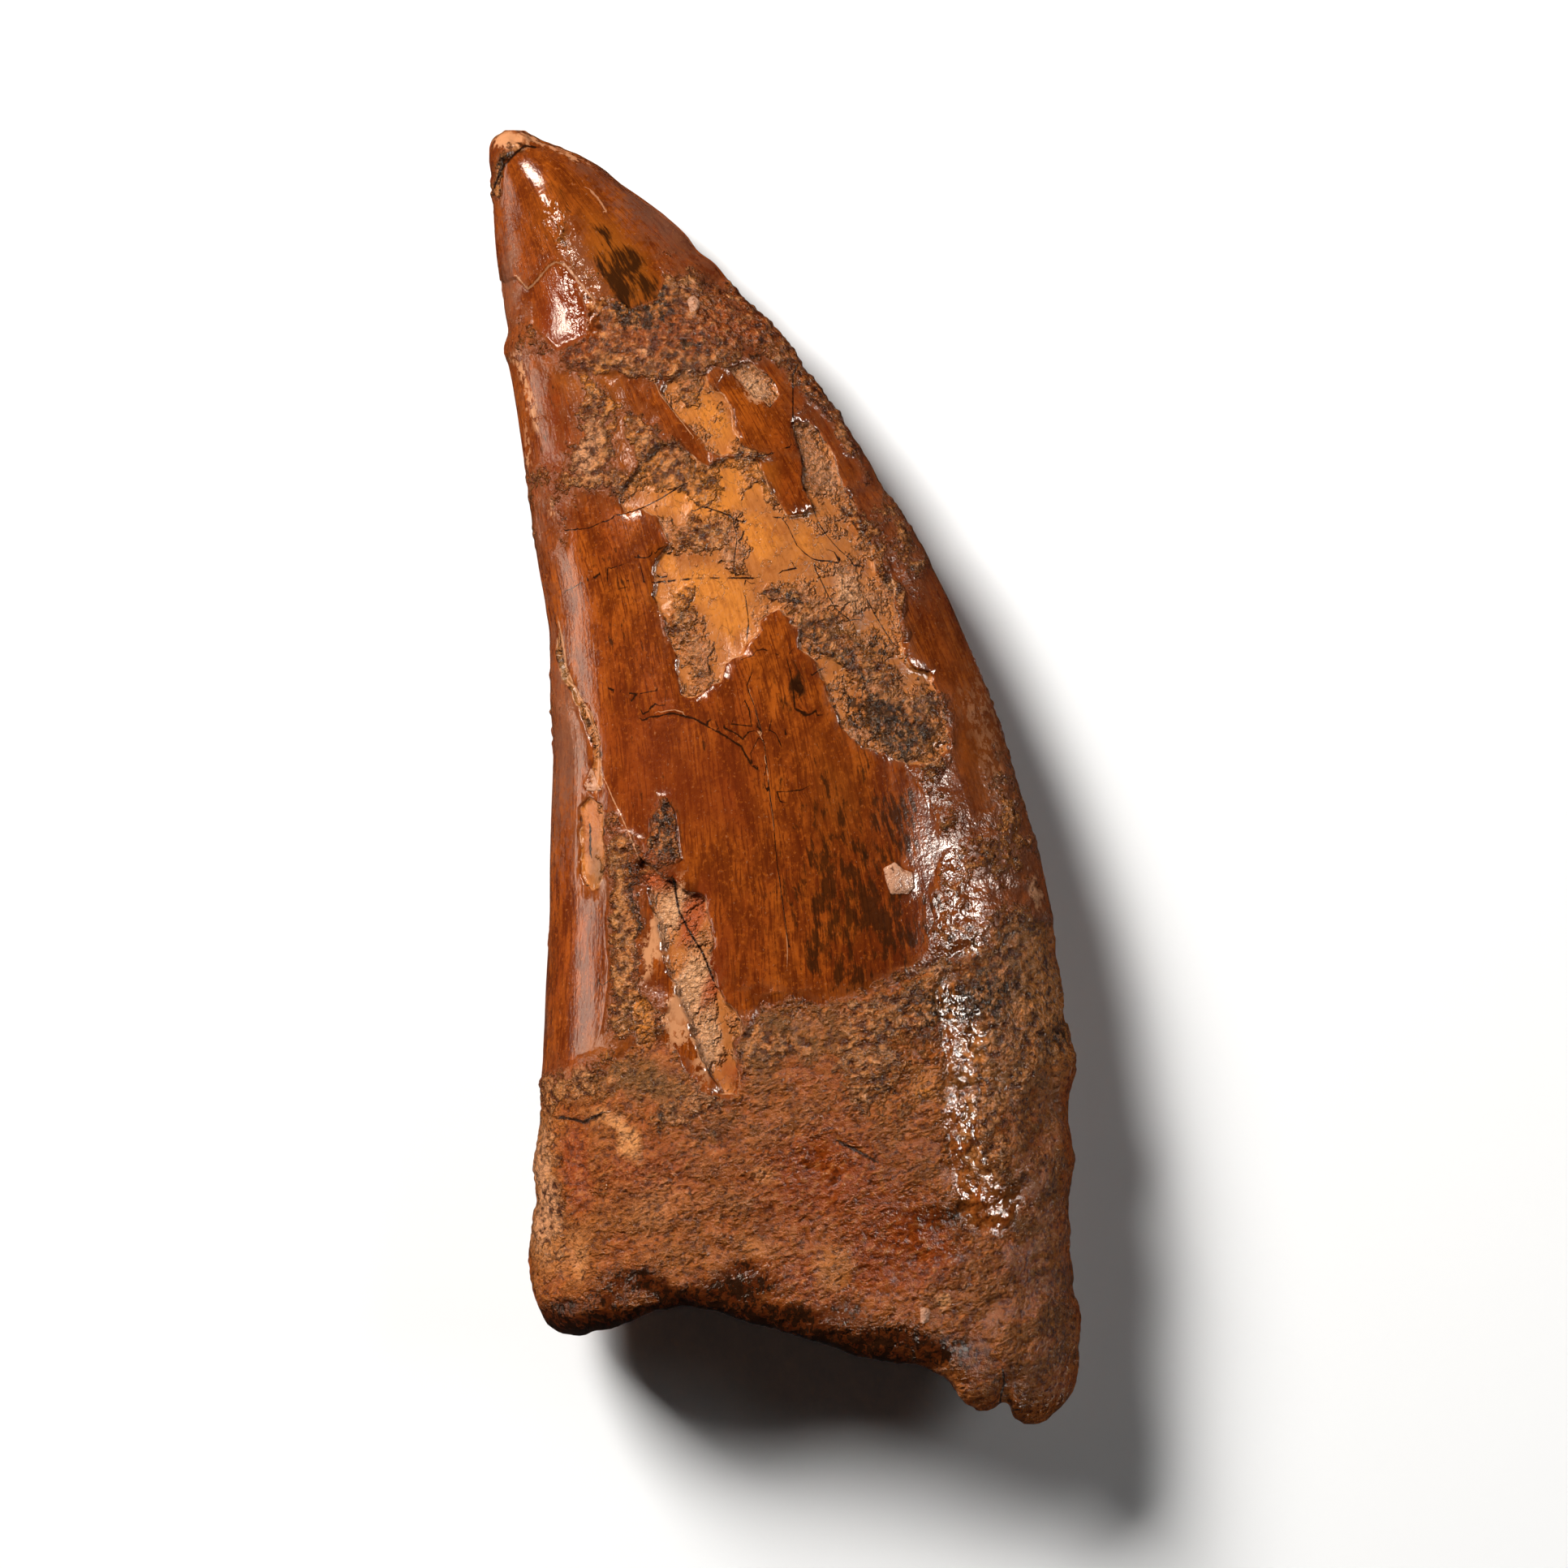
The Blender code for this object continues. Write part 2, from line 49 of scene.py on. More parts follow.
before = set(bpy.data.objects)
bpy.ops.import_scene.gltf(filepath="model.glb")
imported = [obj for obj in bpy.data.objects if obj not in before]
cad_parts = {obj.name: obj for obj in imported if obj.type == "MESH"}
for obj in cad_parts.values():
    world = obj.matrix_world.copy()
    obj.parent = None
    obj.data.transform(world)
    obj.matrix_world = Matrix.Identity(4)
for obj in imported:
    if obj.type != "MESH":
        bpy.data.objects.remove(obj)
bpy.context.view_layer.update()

MM = 0.001

# Driving sizes of the form, in millimetres, the same as the solid's.
AXIS_LENGTH = 84.0
ROOT_LIP = 2.4
LIP_SHARE = 0.17
HOLLOW_DEPTH = 3.4
RUBBLE = 0.55
TIP_ROUNDING = 3.0

# Rings along the tooth and points round each ring before thinning; the upper side gets most of the points.
RINGS = 720
ROUND_ABOVE = 360
ROUND_BELOW = 170
FACES = 186000

# The outline seen from above, each edge from the tip down to the root.
TIP = (-19.05, 44.45)
DISTAL_EDGE = [
    TIP, (-19.75, 44.0), (-20.15, 43.35), (-20.3, 42.65), (-20.12, 41.9), (-20.0, 40.9), (-19.95, 39.4),
    (-19.85, 37.4), (-19.6, 34.9), (-19.25, 32.3), (-18.98, 30.6), (-19.28, 29.4), (-18.95, 28.2),
    (-18.45, 25.6), (-18.05, 23.2), (-17.55, 20.2), (-17.15, 17.0), (-16.85, 14.6), (-16.4, 11.8),
    (-16.2, 8.6), (-16.05, 5.2), (-15.8, 2.0), (-15.85, -1.6), (-15.95, -6.0), (-16.0, -9.6),
    (-16.25, -13.6), (-16.45, -18.0), (-16.75, -22.4), (-17.15, -25.4), (-17.25, -26.8), (-17.15, -28.6),
    (-17.45, -31.8), (-17.6, -34.0), (-17.4, -36.4),
]
MESIAL_EDGE = [
    TIP, (-18.35, 44.5), (-17.7, 44.2), (-16.2, 43.5), (-14.2, 42.75), (-12.4, 41.8), (-11.2, 40.8),
    (-9.8, 39.8), (-8.0, 38.45), (-6.7, 37.2), (-6.0, 36.25), (-4.9, 35.4), (-3.8, 34.0), (-2.8, 32.8),
    (-1.2, 31.1), (0.2, 29.5), (1.1, 28.1), (2.1, 26.9), (3.3, 25.3), (4.6, 23.2), (5.7, 21.4), (6.5, 19.8),
    (7.7, 18.1), (8.9, 16.3), (9.9, 14.4), (11.0, 12.3), (12.2, 9.7), (13.2, 7.4), (14.2, 4.8), (15.2, 1.7),
    (16.2, -1.6), (17.2, -4.9), (17.9, -7.8), (18.6, -11.4), (19.15, -15.0), (19.6, -17.6), (19.85, -20.8),
    (19.5, -22.2), (19.75, -24.2), (20.05, -26.6), (19.7, -28.8), (19.6, -31.0), (19.85, -34.4),
    (20.15, -37.2), (20.0, -39.8), (19.6, -42.4), (19.3, -44.2),
]
ROOT_RIM = [
    DISTAL_EDGE[-1], (-16.0, -37.7), (-14.2, -38.1), (-12.4, -37.75), (-10.6, -37.1), (-9.0, -36.5),
    (-7.4, -36.2), (-5.4, -36.3), (-3.4, -36.8), (-1.0, -37.5), (1.6, -38.3), (4.6, -39.2), (7.4, -39.9),
    (9.6, -40.4), (11.0, -41.3), (12.0, -42.7), (13.1, -43.5), (14.2, -43.3), (14.95, -42.8), (15.5, -43.8),
    (16.6, -44.5), (17.9, -44.6), MESIAL_EDGE[-1],
]
THICKNESS_ABOVE = [
    (0, 8.3), (6, 8.6), (14, 8.9), (24, 8.7), (36, 7.7), (48, 6.4), (60, 4.9), (70, 3.7), (77, 2.7),
    (84, 1.9),
]
THICKNESS_BELOW = [
    (0, 8.0), (6, 8.4), (14, 8.6), (24, 8.2), (36, 7.0), (48, 5.6), (60, 4.3), (70, 3.3), (77, 2.5),
    (84, 1.8),
]
LOWER_FACE = [
    (0, 0.3), (6, -0.6), (20, -0.55), (27, -0.1), (36, 0.8), (52, 1.4), (66, 0.8), (75, -0.2), (80, -0.45),
    (84, 0.0),
]

# Scars where the enamel has come off the upper face: depth, then outline.
UPPER_SCARS = {
    "face_loss": (0.38, [
        (-8.8, 17.5), (-8.2, 16.6), (-7.9, 16.0), (-8.4, 15.5), (-8.9, 14.4), (-9.0, 12.3), (-8.3, 10.6),
        (-7.6, 8.7), (-7.3, 8.0), (-7.4, 7.0), (-7.0, 5.7), (-6.5, 5.4), (-5.6, 5.6), (-5.0, 6.3),
        (-4.4, 6.6), (-4.2, 8.0), (-3.0, 8.3), (-2.7, 9.0), (-1.7, 10.2), (-1.7, 10.9), (-0.4, 11.5),
        (0.4, 10.6), (1.0, 10.0), (1.0, 8.7), (2.0, 8.1), (2.8, 6.4), (3.1, 4.8), (3.9, 3.4), (5.3, 2.1),
        (7.2, 1.4), (8.4, 1.0), (10.2, 1.1), (11.1, 1.9), (11.1, 3.2), (10.3, 5.8), (9.8, 7.2), (8.7, 7.6),
        (8.1, 8.3), (7.6, 11.0), (7.2, 13.6), (6.2, 14.0), (5.8, 16.0), (4.5, 17.5), (4.8, 18.4),
        (3.7, 20.4), (3.2, 22.1), (2.9, 23.0), (1.5, 24.2), (0.4, 24.2), (0.9, 22.5), (1.2, 20.3),
        (1.9, 18.3), (0.2, 17.8), (-0.7, 19.3), (-1.3, 20.5), (-2.0, 21.7), (-3.6, 21.9), (-5.4, 21.2),
        (-7.2, 22.6), (-8.4, 22.8), (-9.8, 21.5), (-11.4, 19.2), (-11.0, 18.0), (-9.8, 18.4),
    ]),
    "oval_chip": (0.3, [
        (-8.3, 27.0), (-7.0, 27.8), (-5.5, 27.4), (-4.9, 26.6), (-4.2, 26.1), (-3.7, 25.2), (-3.3, 23.8),
        (-3.1, 22.9), (-3.4, 22.2), (-4.4, 21.9), (-5.2, 22.2), (-6.3, 23.6), (-7.4, 24.8), (-8.0, 25.6),
        (-8.5, 26.3),
    ]),
    "edge_chip": (0.25, [
        (-3.0, 28.5), (-2.2, 28.3), (-1.5, 27.7), (-0.9, 27.0), (-0.5, 26.1), (-1.0, 25.6), (-2.2, 26.3),
        (-3.2, 27.1), (-3.9, 27.9),
    ]),
    "distal_oval": (0.3, [
        (-13.5, -1.4), (-12.6, -1.9), (-12.4, -3.0), (-12.4, -6.5), (-12.7, -7.5), (-13.1, -7.8),
        (-13.6, -7.2), (-14.0, -6.2), (-14.1, -3.6), (-13.9, -2.0),
    ]),
    "long_scar": (0.8, [
        (-10.0, -5.5), (-9.2, -6.0), (-8.5, -6.8), (-7.6, -6.9), (-7.0, -7.6), (-6.2, -7.8), (-5.5, -8.2),
        (-5.2, -9.5), (-5.0, -10.8), (-5.2, -12.8), (-4.8, -13.8), (-3.8, -15.4), (-3.0, -16.8),
        (-3.1, -17.3), (-3.7, -17.8), (-3.3, -19.6), (-3.2, -21.6), (-4.4, -21.4), (-5.6, -19.4),
        (-6.3, -17.2), (-7.3, -15.2), (-7.9, -13.2), (-8.5, -11.3), (-8.8, -9.4), (-9.4, -7.6),
        (-9.8, -6.5),
    ]),
    "flank_ridge": (0.25, [
        (-15.6, 10.0), (-15.1, 8.0), (-14.6, 6.4), (-13.9, 5.5), (-13.2, 4.2), (-12.7, 2.4), (-12.6, -0.9),
        (-13.0, -1.2), (-13.3, -0.9), (-13.1, 2.0), (-14.1, 4.6), (-15.2, 6.8), (-15.7, 8.4),
    ]),
    "small_chip": (0.3, [
        (-10.3, -15.0), (-9.4, -15.0), (-8.9, -15.7), (-9.1, -16.8), (-8.8, -17.8), (-9.4, -18.4),
        (-10.2, -18.1), (-10.5, -16.6),
    ]),
}
# Steps in the surface, each with its depth, the length over which the low side rises again, and the line of
# its edge: the low side lies to the right of the line.
STEPS = [
    (0.2, 2.6, [
        (-18.9, 34.2), (-18.4, 34.3), (-17.7, 33.5), (-17.3, 33.8), (-16.8, 34.4), (-16.3, 35.0),
        (-15.8, 35.35), (-15.2, 35.2), (-14.7, 34.7), (-14.2, 34.0), (-13.7, 33.4), (-13.2, 32.8),
        (-12.8, 31.8),
    ]),
    (0.25, 2.2, [
        (-9.0, -22.0), (-9.3, -22.8), (-9.7, -23.9), (-10.6, -24.9), (-11.6, -25.7), (-12.6, -26.9),
    ]),
    (0.3, 1.6, [(-15.4, -23.2), (-14.4, -23.3), (-13.8, -23.5), (-13.2, -23.2), (-12.6, -22.9)]),
    (0.22, 1.6, [
        (-15.6, 10.0), (-15.1, 8.0), (-14.6, 6.2), (-13.7, 5.0), (-13.0, 3.0), (-12.7, 1.0), (-12.8, -0.6),
    ]),
    (0.15, 1.6, [(-4.0, 34.6), (-4.9, 33.4), (-4.6, 32.0), (-3.2, 30.6), (-1.8, 29.4)]),
    (0.08, 1.2, [(-14.8, 28.0), (-13.8, 28.3), (-12.9, 28.2), (-12.2, 27.6)]),
    (0.2, 2.0, [(10.8, -12.6), (9.4, -13.4), (7.0, -14.4), (5.0, -15.2)]),
    (0.3, 1.4, [(19.6, -16.6), (18.7, -17.6), (18.5, -20.0), (18.9, -22.4)]),
    (0.3, 2.0, [(-15.2, -24.2), (-14.8, -27.0), (-15.0, -30.0), (-14.2, -33.0)]),
]
LOWER_SCARS = {
    "lower_loss": (0.38, [
        (-4.0, 20.0), (-1.0, 17.0), (2.5, 12.0), (5.0, 6.5), (4.6, 2.0), (1.8, 0.6), (-1.2, 2.2),
        (-2.6, 6.4), (-5.4, 9.2), (-6.8, 13.6), (-6.0, 17.8),
    ]),
    "lower_chip": (0.38, [
        (8.6, -2.0), (11.0, -3.4), (11.6, -7.2), (9.8, -9.0), (8.2, -6.4), (7.8, -3.8),
    ]),
    "lower_spall": (0.5, [
        (-12.4, -4.0), (-10.6, -5.6), (-9.6, -10.4), (-11.2, -13.8), (-12.8, -10.6), (-13.2, -6.4),
    ]),
}

# The crown ends and the root begins at this line across the tooth.
CROWN_END = [
    (-21.0, -22.6), (-16.2, -22.0), (-14.0, -20.6), (-11.6, -19.2), (-9.0, -17.6), (-7.4, -18.4),
    (-6.2, -21.4), (-3.8, -22.2), (-2.8, -17.8), (-1.6, -15.4), (1.0, -15.0), (4.0, -15.0), (6.2, -14.0),
    (8.6, -13.2), (11.0, -12.2), (14.0, -10.6), (21.0, -9.4),
]

# Cracks in the upper face: half width in millimetres, then the line.
CRACKS = [
    (0.05, [(-15.0, 16.9), (-13.5, 17.0), (-12.2, 17.6), (-9.8, 18.4), (-8.6, 19.0), (-7.0, 20.0)]),
    (0.06, [(-6.2, 18.2), (-5.6, 18.5), (-4.1, 18.0), (-3.0, 17.4), (-1.3, 17.8), (-0.3, 17.7)]),
    (0.04, [(-14.8, 12.8), (-13.0, 13.9), (-11.0, 14.6), (-10.0, 15.0), (-9.0, 15.2), (-8.3, 15.8)]),
    (0.035, [(-12.0, 12.7), (-11.0, 12.9), (-10.0, 13.4), (-9.0, 13.3)]),
    (0.075, [(-9.0, 13.3), (-8.0, 13.4), (-6.0, 13.6), (-4.5, 13.6), (-2.3, 13.6)]),
    (0.075, [(-0.1, 14.1), (0.8, 14.3), (1.5, 14.7), (2.8, 14.8), (4.4, 14.5), (5.2, 14.4)]),
    (0.04, [(0.1, 17.3), (0.4, 16.5), (0.9, 15.6), (2.0, 14.8)]),
    (0.04, [(2.3, 13.7), (2.8, 12.6), (3.3, 11.6), (4.4, 10.7), (4.9, 10.8)]),
    (0.04, [
        (-3.0, 8.0), (-2.8, 7.0), (-2.5, 5.8), (-2.1, 4.8), (-1.9, 4.0), (-1.6, 3.0), (-1.4, 2.0),
        (-1.2, 0.2), (-1.1, -1.0), (-0.8, -3.0), (-0.7, -5.0), (-0.4, -7.0), (-0.2, -8.5), (0.0, -10.0),
        (0.3, -12.0),
    ]),
    (0.09, [
        (-9.5, 4.1), (-8.5, 4.2), (-7.8, 4.4), (-7.0, 4.2), (-6.2, 4.0), (-5.5, 3.6), (-4.2, 2.9),
        (-3.0, 2.1), (-2.4, 0.9), (-1.8, 0.5),
    ]),
    (0.04, [(-5.0, 3.8), (-3.0, 3.5), (-1.8, 3.4)]),
    (0.04, [(-3.2, 2.6), (-1.3, 2.7), (-0.3, 2.8), (0.5, 3.2), (1.3, 3.7), (2.2, 4.3), (2.8, 4.6)]),
    (0.04, [(-2.2, 1.0), (-1.9, 0.0), (-1.0, -0.9), (0.2, -1.1), (1.4, -0.8)]),
    (0.04, [(-12.1, 6.3), (-11.4, 5.9), (-10.5, 5.6), (-9.0, 5.9), (-8.0, 6.0)]),
    (0.035, [(-2.9, 8.1), (-2.2, 8.3), (-1.5, 8.8), (0.2, 9.4)]),
    (0.05, [(-2.1, 21.9), (-1.0, 22.1), (0.3, 22.6)]),
    (0.05, [(2.4, 7.4), (1.6, 6.8), (0.8, 5.6), (0.6, 4.6), (0.0, 3.6), (-0.8, 3.0)]),
    (0.05, [(0.2, 8.0), (0.4, 6.6), (1.0, 5.4), (1.6, 4.2)]),
    (0.14, [(3.7, -24.8), (4.5, -25.2), (5.3, -25.6), (6.0, -26.0)]),
    (0.13, [(-15.4, -23.2), (-14.4, -23.3), (-13.8, -23.5), (-13.2, -23.2), (-12.6, -22.9)]),
    (0.08, [(14.8, -40.3), (14.9, -41.2), (14.7, -42.0), (14.6, -42.6)]),
    (0.03, [(-14.3, -14.7), (-13.8, -14.2), (-13.0, -14.0), (-12.2, -14.0)]),
    (0.1, [(-13.35, -3.4), (-13.3, -5.2)]),
    (0.07, [(0.8, 28.3), (0.5, 27.6), (0.5, 24.2)]),
    (0.05, [(-2.7, 12.2), (-2.5, 10.9), (-2.6, 9.4)]),
    (0.04, [(-3.6, 17.5), (-3.3, 16.4), (-3.6, 15.2), (-3.4, 13.7)]),
    (0.05, [(5.4, 12.4), (6.4, 10.6), (7.4, 9.0)]),
    (0.11, [
        (-20.0, 40.6), (-19.7, 41.4), (-19.4, 42.0), (-18.9, 42.5), (-18.4, 43.0), (-17.9, 43.4),
        (-17.2, 43.3),
    ]),
    (0.1, [(-7.6, -7.0), (-7.3, -9.0), (-6.6, -10.4), (-5.6, -12.0), (-4.9, -13.8)]),
    (0.04, [(1.9, 18.3), (2.4, 17.0), (3.6, 15.6), (5.0, 14.4)]),
]
# Depth of a crack, for each millimetre that its half width is over the thinnest that cuts into the surface,
# and height of a seam, for each millimetre of half width.
CRACK_DEPTH = 1.6
THINNEST_CUT = 0.085
SEAM_HEIGHT = 0.4

# Thin pale lines: edges of broken enamel that catch the light and sand that fills a crack.
SEAMS = [
    (0.1, STEPS[0][2][1:-1]),
    (0.1, [(-13.4, 40.3), (-12.9, 39.8), (-12.4, 39.0)]),
    (0.05, [(-2.4, 5.6), (-2.1, 4.8), (-1.9, 4.0), (-1.6, 3.0)]),
    (0.05, [(-1.3, 0.9), (-1.2, 0.2), (-1.1, -1.0), (-0.9, -2.4), (-0.8, -3.4)]),
    (0.04, [(-0.5, -6.4), (-0.3, -7.8), (0.0, -10.0), (0.15, -11.2), (0.1, -12.6)]),
    (0.1, [
        (-15.5, 10.6), (-15.1, 8.4), (-14.9, 6.6), (-14.3, 6.1), (-13.9, 5.2), (-13.4, 4.2), (-13.0, 3.0),
    ]),
    (0.1, [(-13.0, 3.4), (-12.8, 2.2), (-12.75, 1.0), (-12.8, 0.0), (-12.9, -0.9)]),
    (0.06, [(-12.3, -0.2), (-11.8, -1.4), (-11.3, -2.4), (-10.9, -3.3), (-10.5, -4.2), (-10.0, -5.5)]),
    (0.05, [(-8.9, 27.0), (-8.6, 26.2), (-7.8, 25.2), (-6.4, 23.4)]),
    (0.05, [(-8.5, 4.45), (-7.7, 4.65), (-7.0, 4.45)]),
    (0.05, [(-1.9, 3.2), (-1.5, 2.4)]),
]

# Plates of clean enamel that stand clear of the crust round them.
CLEAN_PLATES = [
    [
        (-4.9, 27.8), (-3.6, 27.0), (-2.4, 25.8), (-1.0, 25.2), (0.1, 24.6), (0.5, 23.8), (0.3, 22.6),
        (-1.0, 22.1), (-2.9, 22.7), (-3.1, 23.6), (-3.6, 25.2), (-4.4, 26.6),
    ],
    [
        (-2.0, 21.7), (0.9, 21.5), (1.2, 20.5), (1.5, 19.5), (1.9, 18.4), (1.0, 18.1), (0.2, 17.8),
        (-0.2, 18.4), (-0.7, 19.3), (-1.3, 20.5),
    ],
    [
        (-8.8, 26.0), (-8.2, 25.6), (-7.2, 24.5), (-6.2, 23.3), (-5.2, 21.9), (-5.4, 21.3), (-6.4, 22.0),
        (-7.6, 23.6), (-8.6, 25.0),
    ],
    [
        (-14.6, 16.8), (-12.2, 17.3), (-9.8, 18.0), (-8.9, 17.4), (-8.4, 16.0), (-9.2, 14.2), (-9.2, 12.0),
        (-7.9, 8.4), (-7.4, 5.6), (-9.0, 5.9), (-11.4, 6.0), (-13.6, 6.6), (-14.6, 9.4), (-15.0, 13.0),
    ],
    [
        (-12.4, 5.0), (-9.0, 5.2), (-6.4, 5.0), (-4.4, 6.2), (-4.0, 7.8), (-2.4, 8.6), (-1.4, 10.6),
        (0.6, 9.8), (1.2, 8.2), (2.4, 6.8), (3.0, 4.4), (5.0, 2.0), (8.0, 0.8), (9.6, -2.0), (9.4, -8.0),
        (8.6, -12.6), (4.0, -13.8), (-2.0, -14.4), (-4.4, -12.0), (-5.4, -8.0), (-6.4, -6.6), (-7.2, -4.6),
        (-7.6, -2.2), (-8.8, -0.6), (-9.6, -1.4), (-9.2, -3.4), (-9.6, -5.0), (-11.6, -1.0), (-12.6, 2.0),
    ],
    [(-15.9, -2.0), (-12.3, -8.0), (-12.1, -14.0), (-12.6, -17.4), (-14.4, -19.0), (-16.4, -17.0)],
    [
        (-19.4, 42.4), (-17.6, 43.0), (-14.8, 42.2), (-13.2, 40.6), (-13.6, 39.4), (-15.2, 38.8),
        (-15.8, 37.0), (-16.2, 35.6), (-17.8, 34.2), (-19.2, 34.6),
    ],
    [
        (-17.2, 33.6), (-15.8, 34.8), (-14.8, 34.0), (-13.6, 32.0), (-13.8, 30.2), (-15.6, 29.4),
        (-17.2, 31.0),
    ],
    [
        (-7.4, -12.4), (-6.8, -15.6), (-6.0, -18.8), (-4.8, -21.4), (-3.4, -21.8), (-3.4, -19.0),
        (-4.4, -15.4), (-5.2, -12.2),
    ],
    [
        (-13.2, 38.2), (-11.4, 37.6), (-9.6, 36.4), (-8.4, 34.2), (-8.8, 32.8), (-10.8, 32.2),
        (-12.0, 33.6), (-12.8, 36.0),
    ],
]

# Pale pebbles stuck to the surface.
PEBBLES = [
    [
        (6.7, -6.2), (7.4, -5.8), (8.0, -6.3), (8.6, -6.5), (8.7, -7.5), (8.3, -7.9), (7.2, -7.9),
        (6.9, -7.2),
    ],
    [(-6.7, 32.7), (-6.3, 33.0), (-5.9, 32.6), (-6.0, 32.1), (-6.5, 31.9)],
    [(9.2, -36.0), (9.8, -36.2), (9.7, -37.0), (9.2, -37.1)],
    [(-13.2, 0.7), (-12.9, -0.4), (-12.6, -0.8), (-13.5, -0.9), (-13.7, -0.5)],
]
PEBBLE_HEIGHT = 0.18

# A low ridge runs down from the tip, and its distal side mirrors the main light: middle line, height, reach.
TIP_RIDGE = [(-15.95, 40.6), (-15.0, 38.7), (-13.9, 36.3), (-12.4, 33.5)]
TIP_RIDGE_HEIGHT = 0.56
TIP_RIDGE_REACH = 1.6

# Beside the tip the mesial flank is a smooth facet that falls away from this ridge.
FACET = [
    (-13.4, 42.4), (-12.4, 40.9), (-11.4, 39.3), (-10.6, 37.6), (-9.0, 36.0), (-7.0, 34.8), (-4.6, 31.6),
    (-1.0, 32.0), (-8.0, 41.0),
]
FACET_FALL = 0.16
FACET_DEPTH = 0.4

# Soft spots on the upper face: x, y, half width, half length, lean to the left in degrees, strength.
CRUST_SPOTS = [
    (-9.5, 30.6, 7.2, 2.0, 0, 0.9), (-12.0, 30.4, 2.6, 1.8, 0, 0.8), (-6.4, 31.6, 2.2, 2.6, 35, 0.8),
    (-13.2, 22.8, 1.3, 2.8, 4, 1.0), (-9.4, 23.0, 0.7, 2.2, 32, 0.8), (-7.8, 21.7, 1.4, 1.6, 40, 1.0),
    (-5.4, 20.4, 1.4, 0.9, 0, 1.0), (-2.4, 21.4, 0.9, 1.2, 30, 0.9), (-0.9, 20.2, 0.5, 1.6, 25, 0.7),
    (-11.4, 19.8, 2.2, 1.0, -20, 0.5), (-15.6, 19.0, 1.0, 2.0, 4, 0.4), (-8.6, 28.4, 4.0, 0.9, 0, 0.8),
    (-5.2, 16.4, 2.2, 1.5, 20, 0.85), (-2.8, 14.3, 1.6, 0.6, 0, 0.8), (-7.2, 10.4, 1.2, 1.1, 10, 0.85),
    (-6.4, 7.6, 1.0, 1.5, -10, 0.75), (-7.4, 12.0, 1.0, 0.5, 20, 0.7), (-0.3, 12.6, 1.5, 0.9, 0, 0.9),
    (1.9, 10.2, 1.2, 2.2, 35, 0.8), (4.6, 8.4, 1.0, 3.0, 38, 0.8), (7.4, 3.4, 3.2, 2.0, -20, 0.9),
    (9.8, 4.0, 1.2, 2.6, 10, 1.0), (5.0, 17.6, 0.5, 1.9, 20, 0.8), (7.2, 12.4, 0.5, 3.0, 14, 0.6),
    (0.4, 28.0, 0.6, 2.2, 38, 0.7), (3.4, 23.6, 0.5, 2.4, 30, 0.8), (-11.0, -10.0, 1.25, 6.0, 2, 1.1),
    (-10.6, -16.4, 1.6, 3.0, -10, 0.7), (-8.8, -17.6, 0.9, 2.4, -20, 0.8),
    (-13.6, -21.6, 2.4, 1.4, 20, 0.8), (-8.1, -3.8, 1.1, 3.6, -16, 1.1), (10.4, -2.0, 1.2, 2.4, 10, 0.4),
    (16.8, -12.0, 2.0, 4.0, 8, 0.8), (12.4, -13.0, 3.2, 1.6, 0, 0.6), (-16.6, -28.0, 1.3, 7.0, -2, 0.8),
    (-1.0, 33.0, 2.4, 5.6, 40, 0.3), (4.6, 25.0, 1.6, 6.0, 30, 0.35), (8.8, 15.0, 1.4, 5.0, 25, 0.3),
    (-17.6, 12.0, 0.8, 8.0, 5, 0.5), (-7.8, 32.6, 2.4, 1.2, 20, 0.4), (-14.4, 36.0, 0.8, 2.8, 22, 0.35),
    (11.8, -7.6, 1.6, 4.2, 5, 0.45), (-19.5, 41.4, 0.5, 1.5, -20, 0.9), (-18.3, 43.0, 0.9, 0.35, -20, 0.9),
    (0.0, -17.4, 4.5, 1.8, 5, 0.65), (6.5, -19.4, 4.0, 3.2, 0, 0.7), (-6.4, -22.6, 4.0, 1.6, -10, 0.6),
    (10.6, -15.6, 3.4, 1.9, 0, 0.75), (16.0, -17.0, 3.0, 5.0, 0, 0.95), (14.8, -4.0, 2.2, 7.0, 8, 0.5),
    (13.6, -22.4, 2.6, 3.6, 0, 0.7), (15.4, -28.0, 2.2, 4.0, 0, 0.45), (-6.6, 26.2, 0.4, 0.7, 40, 0.8),
    (5.2, 1.2, 2.6, 0.9, -24, 0.5), (1.0, -13.8, 5.0, 0.8, 4, 0.45),
]
